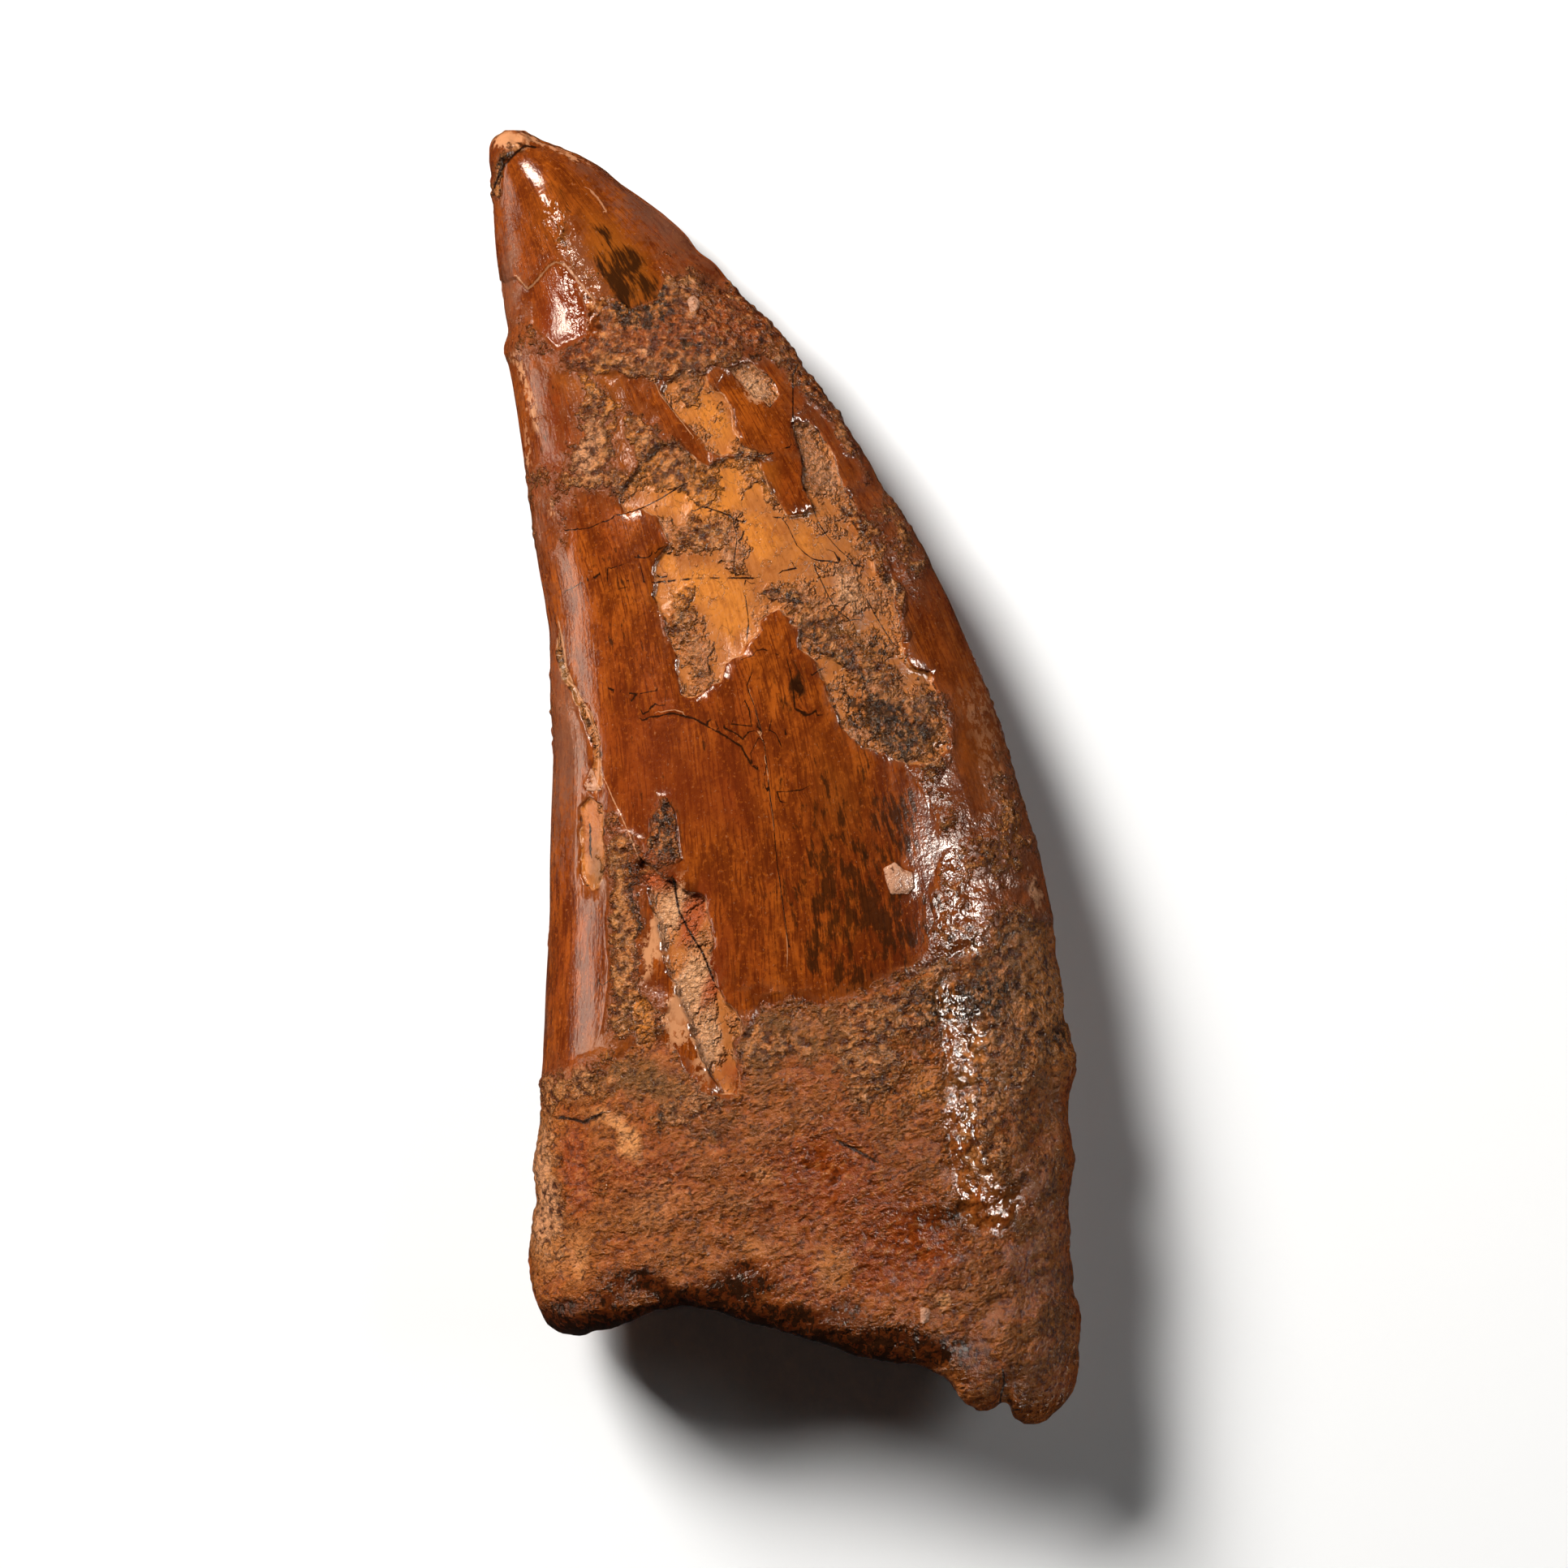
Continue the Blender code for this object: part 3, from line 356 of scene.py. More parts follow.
DARK_SPOTS = [
    (-11.6, 34.2, 0.6, 2.2, 28, 1.5), (-10.2, 35.2, 0.9, 2.0, 38, 1.5), (-12.3, 37.6, 1.1, 0.5, -15, 1.0),
    (-9.6, 33.7, 0.5, 0.9, 40, 1.1), (-10.3, 32.5, 0.9, 0.3, 0, 1.0), (-9.4, 33.4, 1.0, 1.2, 20, 0.8),
    (-12.9, 36.2, 0.5, 1.6, 20, 0.4), (-9.6, 31.4, 2.4, 0.9, 0, 0.7), (-6.2, 29.4, 1.7, 0.9, 10, 0.7),
    (-2.6, 28.8, 0.8, 0.3, -20, 1.0), (-12.2, 29.6, 1.4, 0.5, 0, 0.5), (-19.5, 42.0, 0.4, 0.8, 0, 1.0),
    (-17.9, 43.4, 0.7, 0.3, 20, 0.9), (-19.4, 40.1, 0.35, 0.6, 0, 0.9), (-14.6, 36.8, 0.7, 1.2, 10, 0.6),
    (6.6, 3.8, 2.7, 1.3, -22, 1.2), (8.4, 2.6, 1.6, 0.9, -10, 1.1), (6.4, 8.8, 0.4, 1.1, 38, 1.0),
    (4.6, 7.6, 0.6, 1.6, 38, 0.7), (3.0, 9.2, 0.8, 1.9, 35, 0.45), (1.8, 8.7, 0.7, 0.8, 0, 0.9),
    (-0.4, 12.4, 1.3, 0.6, 0, 0.45), (1.0, 11.6, 0.7, 1.3, 35, 0.45), (-7.2, 10.4, 1.0, 0.9, 0, 0.35),
    (-5.3, 7.0, 0.5, 0.4, 0, 1.0), (-5.4, 20.3, 1.0, 0.4, 0, 0.4), (-8.2, -3.6, 0.8, 2.6, -18, 0.9),
    (-7.2, -6.2, 0.6, 1.4, -30, 0.8), (-9.9, -8.8, 0.4, 3.8, 6, 0.9), (-13.9, 2.4, 0.6, 3.4, 4, 0.6),
    (-12.2, 1.6, 0.25, 3.0, 4, 0.6), (10.0, -15.4, 1.5, 0.9, 0, 0.9), (12.6, -15.4, 2.6, 0.9, 0, 0.95),
    (9.4, -17.2, 0.9, 0.9, 0, 0.6), (13.4, -13.8, 1.6, 1.2, 0, 0.5), (18.3, -17.3, 0.6, 0.9, 0, 0.9),
    (17.4, -15.0, 0.9, 2.4, 0, 0.4), (11.0, -12.0, 0.8, 1.4, 0, 0.5), (2.4, -14.6, 1.4, 0.5, 12, 0.6),
    (6.6, -13.0, 0.5, 1.2, 20, 0.5), (-3.4, -34.4, 2.0, 1.4, 10, 1.0), (-8.4, -35.0, 3.6, 0.8, -8, 0.9),
    (0.6, -36.4, 3.8, 0.8, 0, 0.9), (5.6, -38.0, 3.4, 0.9, 0, 0.9), (10.6, -39.0, 2.4, 1.0, 0, 0.8),
    (-15.0, -36.2, 1.2, 0.6, 0, 0.8), (-12.4, -35.6, 1.2, 0.6, 0, 0.7), (10.4, -29.6, 2.4, 0.6, 8, 0.55),
    (11.4, -32.4, 1.6, 0.6, 10, 0.35), (-8.4, -23.4, 0.35, 1.2, 0, 0.8), (-1.2, -30.6, 0.8, 1.6, 10, 0.45),
    (-4.4, -24.4, 1.8, 0.8, -10, 0.4), (-9.4, 5.2, 0.9, 0.5, 10, 0.7), (1.0, 6.8, 0.5, 1.8, 30, 1.2),
    (0.5, 5.6, 0.55, 1.8, -30, 1.2), (2.6, 4.4, 0.5, 1.4, 30, 0.9), (-10.6, 1.8, 0.5, 0.8, 0, 0.6),
    (-10.8, -0.6, 0.4, 1.0, 20, 0.5), (3.0, -27.4, 0.5, 0.4, 0, 0.6), (13.6, -40.8, 1.8, 1.2, 0, 0.4),
    (18.6, -36.0, 1.4, 6.0, 0, 0.3), (0.7, 26.0, 0.12, 2.0, 0, 0.5), (6.1, -5.6, 0.35, 0.25, 0, 1.0),
]
SPECKLE_SPOTS = [
    (4.6, -9.2, 4.6, 4.4, 10, 1.0), (3.4, -2.0, 3.8, 4.6, 10, 0.75), (7.0, -11.4, 2.8, 2.8, 10, 0.9),
    (0.6, 6.2, 1.2, 2.6, 15, 0.8), (7.6, -2.6, 1.8, 3.0, 10, 0.75), (-15.6, 38.0, 3.4, 4.0, 10, 0.5),
    (-11.0, 9.4, 1.4, 5.0, 6, 0.55), (14.6, 0.0, 1.4, 6.0, 14, 0.4), (-8.6, -3.2, 1.6, 4.0, -12, 0.7),
    (-14.0, -16.6, 1.4, 4.0, 2, 0.55), (-16.6, 24.0, 1.2, 6.0, 5, 0.6), (4.6, -13.0, 3.4, 1.2, 0, 0.7),
    (-12.0, 14.6, 2.0, 2.4, 0, 0.3), (-6.4, -1.0, 4.0, 4.0, 0, 0.15),
]
# Two pale spots at the tip are painted highlight: the thin line along the mesial rim at (-15.2, 43.05), and
# in part the pale cap at (-18.9, 43.8).
PALE_SPOTS = [
    (-17.8, 27.2, 0.6, 2.6, 6, 0.62), (-17.2, 22.6, 0.45, 2.8, 5, 0.5), (-16.2, 18.4, 0.5, 0.9, 0, 0.7),
    (-18.9, 43.8, 1.5, 0.9, 0, 1.0), (-15.2, 43.05, 0.2, 2.4, 64, 0.75), (-13.6, 22.6, 1.2, 2.8, 0, 0.6),
    (-9.0, -28.5, 4.0, 3.6, 0, 0.42), (-8.2, -10.4, 0.7, 3.4, -16, 1.1), (-6.4, -15.0, 1.1, 3.2, -16, 1.2),
    (-5.0, -18.2, 1.0, 1.8, -10, 1.2), (3.9, 12.6, 1.0, 1.6, 25, 0.7), (-10.8, -24.6, 1.2, 0.6, -45, 0.8),
    (10.7, -35.7, 0.5, 0.5, 0, 1.0), (-16.6, -28.6, 1.0, 6.0, -2, 0.7), (17.1, -7.6, 0.35, 1.5, 8, 0.8),
    (9.6, -13.1, 1.6, 0.25, 4, 0.7), (-2.0, 27.1, 0.9, 1.6, 42, 0.75), (-14.2, -20.8, 1.6, 1.0, 0, 0.4),
    (2.6, 20.6, 1.2, 3.4, 22, 0.5), (-14.4, -32.4, 1.4, 2.4, 0, 0.55), (-12.4, -23.4, 1.6, 0.8, 0, 0.55),
    (-6.4, -21.6, 2.4, 1.4, -20, 0.45), (6.0, 12.0, 0.8, 2.6, 20, 0.45), (-1.9, -27.6, 0.5, 0.6, 0, 0.4),
    (3.2, -33.0, 1.2, 1.2, 0, 0.35), (-4.8, -24.6, 0.6, 0.4, 0, 0.6), (14.6, -33.0, 1.4, 2.4, 0, 0.2),
    (13.6, 3.0, 2.2, 9.0, 14, 0.42), (-4.6, 9.6, 0.8, 1.6, 10, 0.3), (-6.4, 8.4, 1.4, 2.4, -5, 0.35),
    (-9.6, 29.4, 0.5, 0.3, 0, 0.7),
]
GOLD_SPOTS = [
    (-4.6, 19.4, 3.4, 1.4, 12, 0.9), (-1.7, 16.4, 0.8, 1.2, 25, 1.3), (-6.2, 12.6, 2.4, 1.2, 5, 1.1),
    (-3.4, 11.4, 1.2, 2.2, -20, 0.8), (1.6, 16.4, 1.6, 1.6, 30, 0.7), (-8.6, 20.8, 2.0, 1.4, -40, 0.5),
    (-5.2, 24.2, 1.2, 2.4, 35, 0.8), (6.6, 10.0, 1.2, 2.6, 20, 0.5), (-9.6, -16.6, 0.7, 1.8, 0, 0.9),
    (-12.4, -18.6, 1.4, 1.6, -40, 0.8), (9.2, -20.8, 1.2, 1.1, 0, 0.8), (-14.0, 27.4, 1.8, 0.8, 0, 0.8),
    (-1.2, -26.8, 0.8, 0.8, 0, 0.7), (-1.8, -32.2, 0.9, 0.7, 0, 0.7), (3.2, -33.0, 1.4, 1.4, 0, 1.2),
    (14.6, 0.0, 2.4, 9.0, 14, 0.6), (-8.2, 14.6, 0.7, 0.6, 0, 1.0), (-11.4, 24.4, 0.9, 3.0, 15, 0.8),
    (-13.2, -4.6, 0.8, 3.2, 2, 0.9), (17.4, -15.4, 1.6, 5.0, 0, 0.6), (-10.9, 35.0, 1.6, 3.0, 28, 1.1),
    (18.9, -20.0, 0.6, 3.0, 0, 0.5), (-15.4, 38.6, 3.0, 3.6, 10, 0.35), (4.8, -14.6, 3.2, 0.6, 6, 0.4),
    (13.4, -19.4, 1.4, 2.4, 0, 0.4), (11.0, -22.4, 3.0, 2.0, 0, 0.3), (-0.8, 20.2, 0.7, 1.8, 22, 0.5),
    (3.4, -1.0, 2.0, 4.0, 10, 0.4), (14.6, -42.0, 2.0, 1.2, 0, 0.3),
]
RED_SPOTS = [
    (-15.0, 31.4, 1.9, 2.6, 10, 1.2), (-8.6, 0.6, 4.6, 5.0, 10, 0.5), (-6.1, -9.6, 0.9, 2.2, -22, 1.2),
    (-4.6, -13.4, 0.5, 2.4, -18, 1.1), (-9.2, -6.6, 0.9, 0.9, -40, 1.2), (-13.2, -4.6, 0.9, 3.4, 2, 0.5),
    (-15.9, 22.4, 0.7, 5.4, 5, 0.8), (2.6, -27.0, 4.6, 3.0, 0, 0.85), (8.6, -31.6, 3.4, 2.4, -10, 1.0),
    (3.6, -33.6, 5.6, 1.8, 0, 0.75), (-14.2, -26.6, 0.8, 3.0, 0, 0.9), (-8.4, -7.0, 1.2, 1.2, -30, 0.9),
    (13.6, 6.0, 2.2, 7.0, 18, 0.3), (19.2, -19.6, 0.5, 2.8, 0, 1.0), (-9.4, -26.6, 3.4, 2.0, 0, 0.6),
    (-3.6, 32.4, 1.8, 2.4, 42, 0.7), (-5.0, -1.6, 3.4, 3.0, 0, 0.4), (-7.4, 30.2, 5.0, 1.8, 0, 0.75),
    (-3.6, -20.2, 1.0, 1.4, 0, 0.7), (2.0, 27.0, 2.4, 6.0, 33, 0.45), (-13.4, 10.4, 1.6, 5.0, 5, 0.3),
]
GREY_SPOTS = [
    (-15.4, 2.0, 1.3, 8.0, 2, 0.9), (-17.2, -12.0, 0.8, 9.0, 0, 0.7), (-8.4, 38.6, 1.8, 4.8, 48, 0.9),
    (-19.0, 34.0, 0.8, 4.0, 3, 0.9), (10.0, -15.0, 3.0, 1.4, 0, 0.6), (0.4, -17.4, 4.0, 1.8, 8, 0.7),
    (17.0, -28.0, 2.4, 8.0, 0, 0.4), (16.0, -6.0, 1.6, 5.0, 12, 0.4), (8.6, 2.6, 2.2, 1.8, 0, 0.6),
    (-9.0, -20.4, 3.4, 1.6, 0, 0.6), (-17.0, 16.0, 0.7, 6.0, 3, 0.7), (17.6, -38.0, 2.0, 5.0, 0, 0.25),
    (-14.0, 42.0, 1.6, 0.5, -35, 0.6), (-13.7, 35.0, 0.9, 2.8, 25, 0.8), (-13.2, -4.4, 0.9, 3.4, 0, 0.35),
    (4.6, 8.8, 1.8, 3.0, 35, 0.6), (-13.2, 23.0, 1.2, 2.6, 4, 0.4), (14.2, -20.0, 1.6, 6.0, 0, 0.3),
    (-12.6, -7.0, 0.5, 2.6, 0, 0.6), (-12.6, -21.4, 2.4, 1.0, 10, 0.4),
]
# Thick clear consolidant: smooth by the tip, and wrinkled down the mesial side of the face.
GLOSS_SPOTS = [
    (-17.1, 41.2, 1.3, 2.4, 28, 1.2), (-18.4, 43.4, 0.8, 0.6, 0, 0.9),
]
SPARKLE_SPOTS = [
    (11.4, -6.6, 0.9, 1.8, 5, 1.1), (12.4, -8.6, 0.8, 1.3, 0, 0.9), (11.6, -10.8, 1.3, 1.5, -10, 1.3),
    (13.2, -10.2, 0.8, 1.0, 0, 0.8), (11.3, -16.4, 0.9, 2.4, 2, 1.3), (12.6, -18.2, 1.0, 2.6, 0, 1.3),
    (11.9, -22.6, 1.0, 2.6, 4, 1.3), (12.6, -25.4, 0.9, 1.6, 10, 1.0), (13.2, -28.0, 1.3, 2.2, 12, 1.4),
    (14.6, -29.4, 0.9, 1.0, 0, 1.0), (-15.6, 38.4, 1.1, 1.4, 28, 1.0), (-14.9, 36.4, 0.9, 1.8, 15, 1.0),
    (-13.3, 33.4, 1.0, 2.0, 30, 0.9), (-13.8, 31.6, 1.1, 2.4, 20, 0.9), (-11.0, 31.0, 2.4, 0.9, 0, 0.5),
    (14.8, -21.0, 0.7, 2.0, 0, 0.5),
]

# What the marks of cracks and seams say where no line is near: its distance, and the same in half widths.
FAR_FROM_LINE = 3.0
FAR_HALF_WIDTHS = 12.0

# Width of the ledge round a scar and along a step, and how far a crack or a seam fades past its half width.
SCAR_LEDGE = 0.14
STEP_LEDGE = 0.16
LINE_FADE = 0.07

# A denticle's half width for each millimetre of pitch and its half thickness for each millimetre of height.
# Then each row: how far across the section it stands, from -1 to 1, and the shares of the tooth's length
# between which it runs.
DENTICLE_WIDTH = 0.44
DENTICLE_THICKNESS = 1.4
MESIAL_ROW = (0.996, 0.34, 0.74)
DISTAL_ROW = (-0.998, 0.2, 0.48)

# A dark band along the root's broken end: how far up it comes and the point of the rim where it stops.
ROOT_END_DARK_REACH = 3.6
ROOT_END_DARK_STOP = 13

# How much thin brown film lies over the crown where no spot or plate says otherwise.
FILM_UPPER = 0.4
FILM_LOWER = 0.22


def smooth_curve(points, count):
    """Points spread evenly by length along a smooth curve through the given ones."""
    knots = np.array(points, float)
    reach = np.concatenate([[0.0], np.cumsum(np.linalg.norm(np.diff(knots, axis=0), axis=1))])
    slopes = np.gradient(knots, reach, axis=0)
    at = np.linspace(0.0, reach[-1], count)
    index = np.clip(np.searchsorted(reach, at, side="right") - 1, 0, len(knots) - 2)
    span = (reach[index + 1] - reach[index])[:, None]
    t = ((at - reach[index])[:, None]) / span
    start, end = knots[index], knots[index + 1]
    return (
        (2 * t**3 - 3 * t**2 + 1) * start
        + (t**3 - 2 * t**2 + t) * span * slopes[index]
        + (3 * t**2 - 2 * t**3) * end
        + (t**3 - t**2) * span * slopes[index + 1]
    )


def by_distance(table, distance):
    """A value read from (distance, value) pairs, eased between them."""
    along, values = np.array(table, float).T
    fine = np.linspace(along[0], along[-1], 400)
    eased = np.convolve(np.pad(np.interp(fine, along, values), 20, mode="edge"), np.ones(41) / 41, "valid")
    return np.interp(distance, fine, eased)


def hashed(i, j, k, seed):
    """A number from 0 to 1 for each corner of a lattice, the same on every run."""
    h = i * 374761393 + j * 668265263 + k * 2246822519 + seed * 3266489917
    h = (h ^ (h >> 13)) * 1274126177
    return ((h ^ (h >> 16)) & 65535) / 65535.0


def lattice_noise(x, y, z, seed):
    """Smooth noise from -1 to 1 with one bump for each unit of length."""
    corner = [np.floor(c).astype(np.int64) for c in (x, y, z)]
    inside = [c - k for c, k in zip((x, y, z), corner)]
    ease = [f * f * (3 - 2 * f) for f in inside]
    total = np.zeros(np.shape(x))
    for i in (0, 1):
        for j in (0, 1):
            for k in (0, 1):
                value = 2 * hashed(corner[0] + i, corner[1] + j, corner[2] + k, seed) - 1
                weight = (ease[0] if i else 1 - ease[0]) * (ease[1] if j else 1 - ease[1])
                total += value * weight * (ease[2] if k else 1 - ease[2])
    return total


def grains(x, y, size, seed):
    """Rounded grains of rock, one in each cell of about this size: height from 0 to 1."""
    u, v = x / size, y / size
    cell_u, cell_v = np.floor(u).astype(np.int64), np.floor(v).astype(np.int64)
    height = np.zeros(np.shape(x))
    for i in (-1, 0, 1):
        for j in (-1, 0, 1):
            a, b = cell_u + i, cell_v + j
            across = u - a - hashed(a, b, 0 * a, seed)
            along = v - b - hashed(a, b, 0 * a + 1, seed)
            radius = 0.35 + 0.4 * hashed(a, b, 0 * a + 2, seed)
            height = np.maximum(height, (1 - (across**2 + along**2) / radius**2) * radius / 0.75)
    return np.clip(height, 0, 1)


def depth_inside(x, y, outline):
    """Distance from a closed outline, positive inside it."""
    corners = np.array(outline, float)
    nearest = np.full(np.shape(x), 1e9)
    inside = np.zeros(np.shape(x), bool)
    for (x0, y0), (x1, y1) in zip(corners, np.roll(corners, -1, axis=0)):
        dx, dy = x1 - x0, y1 - y0
        t = np.clip(((x - x0) * dx + (y - y0) * dy) / (dx * dx + dy * dy), 0, 1)
        nearest = np.minimum(nearest, np.hypot(x - x0 - t * dx, y - y0 - t * dy))
        crosses = (y0 > y) != (y1 > y)
        inside ^= crosses & (x < x0 + (y - y0) * dx / (dy if dy else 1e-9))
    return np.where(inside, nearest, -nearest)


def depth_in_any(x, y, outlines, reach=2.0):
    """The largest depth inside any of the outlines, worked out only near each one, and -reach elsewhere."""
    depth = np.full(np.shape(x), -reach)
    for outline in outlines:
        corners = np.array(outline, float)
        low, high = corners.min(axis=0) - reach, corners.max(axis=0) + reach
        near = (x > low[0]) & (x < high[0]) & (y > low[1]) & (y < high[1])
        depth[near] = np.maximum(depth[near], depth_inside(x[near], y[near], outline))
    return depth


def spots(x, y, table):
    """Strength of soft spots, from 0 to about 1: ovals drawn out of shape by noise."""
    x, y = ragged(x, y, 2.4, 0.6, 101)
    x, y = ragged(x, y, 0.7, 0.28, 103)
    left_over = np.ones(np.shape(x))
    for centre_x, centre_y, half_width, half_length, lean, strength in table:
        turn = math.radians(lean)
        across = (x - centre_x) * math.cos(turn) + (y - centre_y) * math.sin(turn)
        along = (y - centre_y) * math.cos(turn) - (x - centre_x) * math.sin(turn)
        reach = np.hypot(across / half_width, along / half_length)
        left_over *= 1 - np.clip(strength * np.clip(1.2 - 0.7 * reach, 0, 1), 0, 1)
    return 1 - left_over


def line_offset(x, y, lines, reach=1.0):
    """The nearest line's half width, the distance from it and the side: above 0 to the left of the line."""
    nearest = np.full(np.shape(x), FAR_FROM_LINE)
    width = np.ones(np.shape(x))
    side = np.ones(np.shape(x))
    for half_width, line in lines:
        for (x0, y0), (x1, y1) in zip(line[:-1], line[1:]):
            near = np.abs(x - (x0 + x1) / 2) < abs(x1 - x0) / 2 + reach
            near &= np.abs(y - (y0 + y1) / 2) < abs(y1 - y0) / 2 + reach
            px, py = x[near] - x0, y[near] - y0
            dx, dy = x1 - x0, y1 - y0
            t = np.clip((px * dx + py * dy) / (dx * dx + dy * dy), 0, 1)
            distance = np.hypot(px - t * dx, py - t * dy)
            closer = distance < nearest[near]
            nearest[near] = np.where(closer, distance, nearest[near])
            width[near] = np.where(closer, half_width, width[near])
            side[near] = np.where(closer, np.sign(dx * py - dy * px), side[near])
    return width, nearest, side


def drop_below_steps(x, y):
    """How far the steps lower the surface: a sharp ledge, then a slow rise back."""
    drop = np.zeros(np.shape(x))
    for depth, fade, line in STEPS:
        _, nearest, side = line_offset(x, y, [(1.0, line)], fade)
        ledge = np.clip(0.5 - side * nearest / STEP_LEDGE, 0, 1)
        drop = drop + depth * ledge * np.clip(1 - nearest / fade, 0, 1) ** 1.5
    return drop


def ring_path():
    """Each ring's distance from the rim and the share it is drawn in by, from the tip to the hollow."""
    lip_rings, floor_rings = 26, 22
    outer = RINGS - lip_rings - floor_rings
    run = np.linspace(0.0, 1.0, outer) ** 1.08
    distance = list(AXIS_LENGTH - run * (AXIS_LENGTH - ROOT_LIP))
    drawn_in = [0.0] * outer
    for turn in np.linspace(0, math.pi, lip_rings + 1)[1:]:
        distance.append(ROOT_LIP * (1 - math.sin(turn)))
        drawn_in.append(LIP_SHARE * (1 - math.cos(turn)))
    for share in np.linspace(0, 1, floor_rings + 1)[1:]:
        distance.append(ROOT_LIP + (HOLLOW_DEPTH - ROOT_LIP) * math.sin(share * math.pi / 2))
        drawn_in.append(2 * LIP_SHARE + (1 - 2 * LIP_SHARE) * share)
    return np.array(distance), np.array(drawn_in)


def plan_of(share, u):
    """Place in plan: share runs from the rim, 0, to the tip, 1, and u from distal to mesial."""
    fine = 1200
    distal = smooth_curve(DISTAL_EDGE, fine)[::-1]
    mesial = smooth_curve(MESIAL_EDGE, fine)[::-1]
    rim = smooth_curve(ROOT_RIM, fine)
    chord = distal[0] + (mesial[0] - distal[0]) * np.linspace(0, 1, fine)[:, None]
    along = np.linspace(0, 1, fine)
    places = []
    for axis in (0, 1):
        left = np.interp(share, along, distal[:, axis])
        right = np.interp(share, along, mesial[:, axis])
        bow = np.interp(u, along, rim[:, axis] - chord[:, axis])
        places.append((1 - u) * left + u * right + (1 - share) ** 4 * bow)
    return places


def section_fullness(across, share):
    """Share of the half thickness left across the section, from 1 at the middle to 0 at an edge."""
    crown = np.clip((share - 0.12) / 0.25, 0, 1)
    flatness = np.where(across < 0, 3.3 - 0.6 * crown, 2.5 - 0.2 * crown)
    edge = np.where(across < 0, 0.5 + 0.12 * crown, 0.52 + 0.2 * crown)
    return (1 - np.abs(across) ** flatness) ** edge


class Skin:
    """The tooth's plain form as a grid of points, ring by ring, with where each point is on the skin."""

    def __init__(self):
        distance, drawn_in = ring_path()
        above = np.linspace(0, math.pi, ROUND_ABOVE, endpoint=False)
        below = np.linspace(math.pi, 2 * math.pi, ROUND_BELOW, endpoint=False)
        angle = np.concatenate([above, below])
        whole = np.ones((len(distance), len(angle)))
        self.across = np.clip(np.cos(angle), -1, 1)[None, :] * whole
        self.upper = np.sin(angle)[None, :] * whole >= 0
        distance = distance[:, None] * whole
        drawn_in = drawn_in[:, None] * whole
        self.share = distance / AXIS_LENGTH
        self.u = 0.5 + 0.5 * self.across * (1 - drawn_in)
        self.x, self.y = plan_of(self.share, self.u)
        nose = np.sqrt(1 - (1 - np.clip((AXIS_LENGTH - distance) / TIP_ROUNDING, 0, 1)) ** 2)
        upward = by_distance(THICKNESS_ABOVE, distance) * nose
        downward = by_distance(THICKNESS_BELOW, distance) * nose
        middle = by_distance(LOWER_FACE, distance) + by_distance(THICKNESS_BELOW, distance)
        half = np.where(self.upper, upward, -downward)
        self.z = middle + half * section_fullness(self.across, self.share) * (1 - drawn_in)
        self.hollow = np.clip((drawn_in - LIP_SHARE) / (2 * LIP_SHARE), 0, 1)

    def outward(self):
        """Unit normals, pointing out."""
        places = np.stack([self.x, self.y, self.z], axis=-1)
        along = np.gradient(places, axis=0)
        around = np.roll(places, -1, axis=1) - np.roll(places, 1, axis=1)
        normal = np.cross(around, along)
        return normal / np.maximum(np.linalg.norm(normal, axis=-1, keepdims=True), 1e-9)


def ragged(x, y, size, reach, seed):
    """Places moved a little by noise, so that an outline drawn with few points gets a broken edge."""
    moved_x = x + reach * lattice_noise(x / size, y / size, 0 * x, seed)
    moved_y = y + reach * lattice_noise(x / size, y / size, 0 * x, seed + 1)
    return moved_x, moved_y


def broken_edges(x, y):
    """The jagged course that the edges of chips take."""
    return ragged(*ragged(x, y, 1.1, 0.16, 41), 0.4, 0.11, 43)


def on_sides(upper, above, below):
    """One value for the upper side and one for the lower."""
    return np.where(upper, above, below)


def root_depth(x, y):
    """Distance below the end of the crown, positive on the root."""
    return np.interp(x, *np.array(CROWN_END).T) - y


def crust_cover(x, y, upper):
    """How thickly sand crust covers the surface: a thin film at about 0.3 and grains from about 0.6."""
    loose = 0.5 * lattice_noise(x / 2.6, y / 2.6, 0 * x, 83)
    loose = loose + 0.35 * lattice_noise(x / 0.9, y / 0.9, 0 * x, 84)
    filmed = np.clip((y - 15) / 4, 0, 1) * np.clip((36 - y) / 3, 0, 1)
    film = FILM_LOWER + (FILM_UPPER - FILM_LOWER) * filmed
    clean = np.clip(0.5 + depth_in_any(x, y, CLEAN_PLATES) / 0.5, 0, 1)
    above = 1 - (1 - film) * (1 - spots(x, y, CRUST_SPOTS))
    above = above * (1 - 0.85 * clean) + 0.36 * loose * (1 - 0.8 * clean)
    below = 0.45 + 0.5 * lattice_noise(x / 5, y / 6, 0 * x, 82) + 0.36 * loose
    return np.clip(on_sides(upper, above, below), 0, 1.2)


def root_end_dark_band(x, y):
    """How dark the surface is painted in a ragged band along the broken end of the root."""
    _, nearest, _ = line_offset(x, y, [(1.0, ROOT_RIM[1:ROOT_END_DARK_STOP])], ROOT_END_DARK_REACH)
    ragged_reach = ROOT_END_DARK_REACH * (0.62 + 0.3 * lattice_noise(x / 2.4, y / 1.6, 0 * x, 111))
    return np.clip(1.15 * (1 - nearest / ragged_reach), 0, 1)


def on_lines(x, y, lines):
    """The nearest line's half width, and how much of its depth or height each place has."""
    width, nearest, _ = line_offset(x, y, lines)
    return width, np.clip(1.3 - nearest / (width + LINE_FADE), 0, 1)


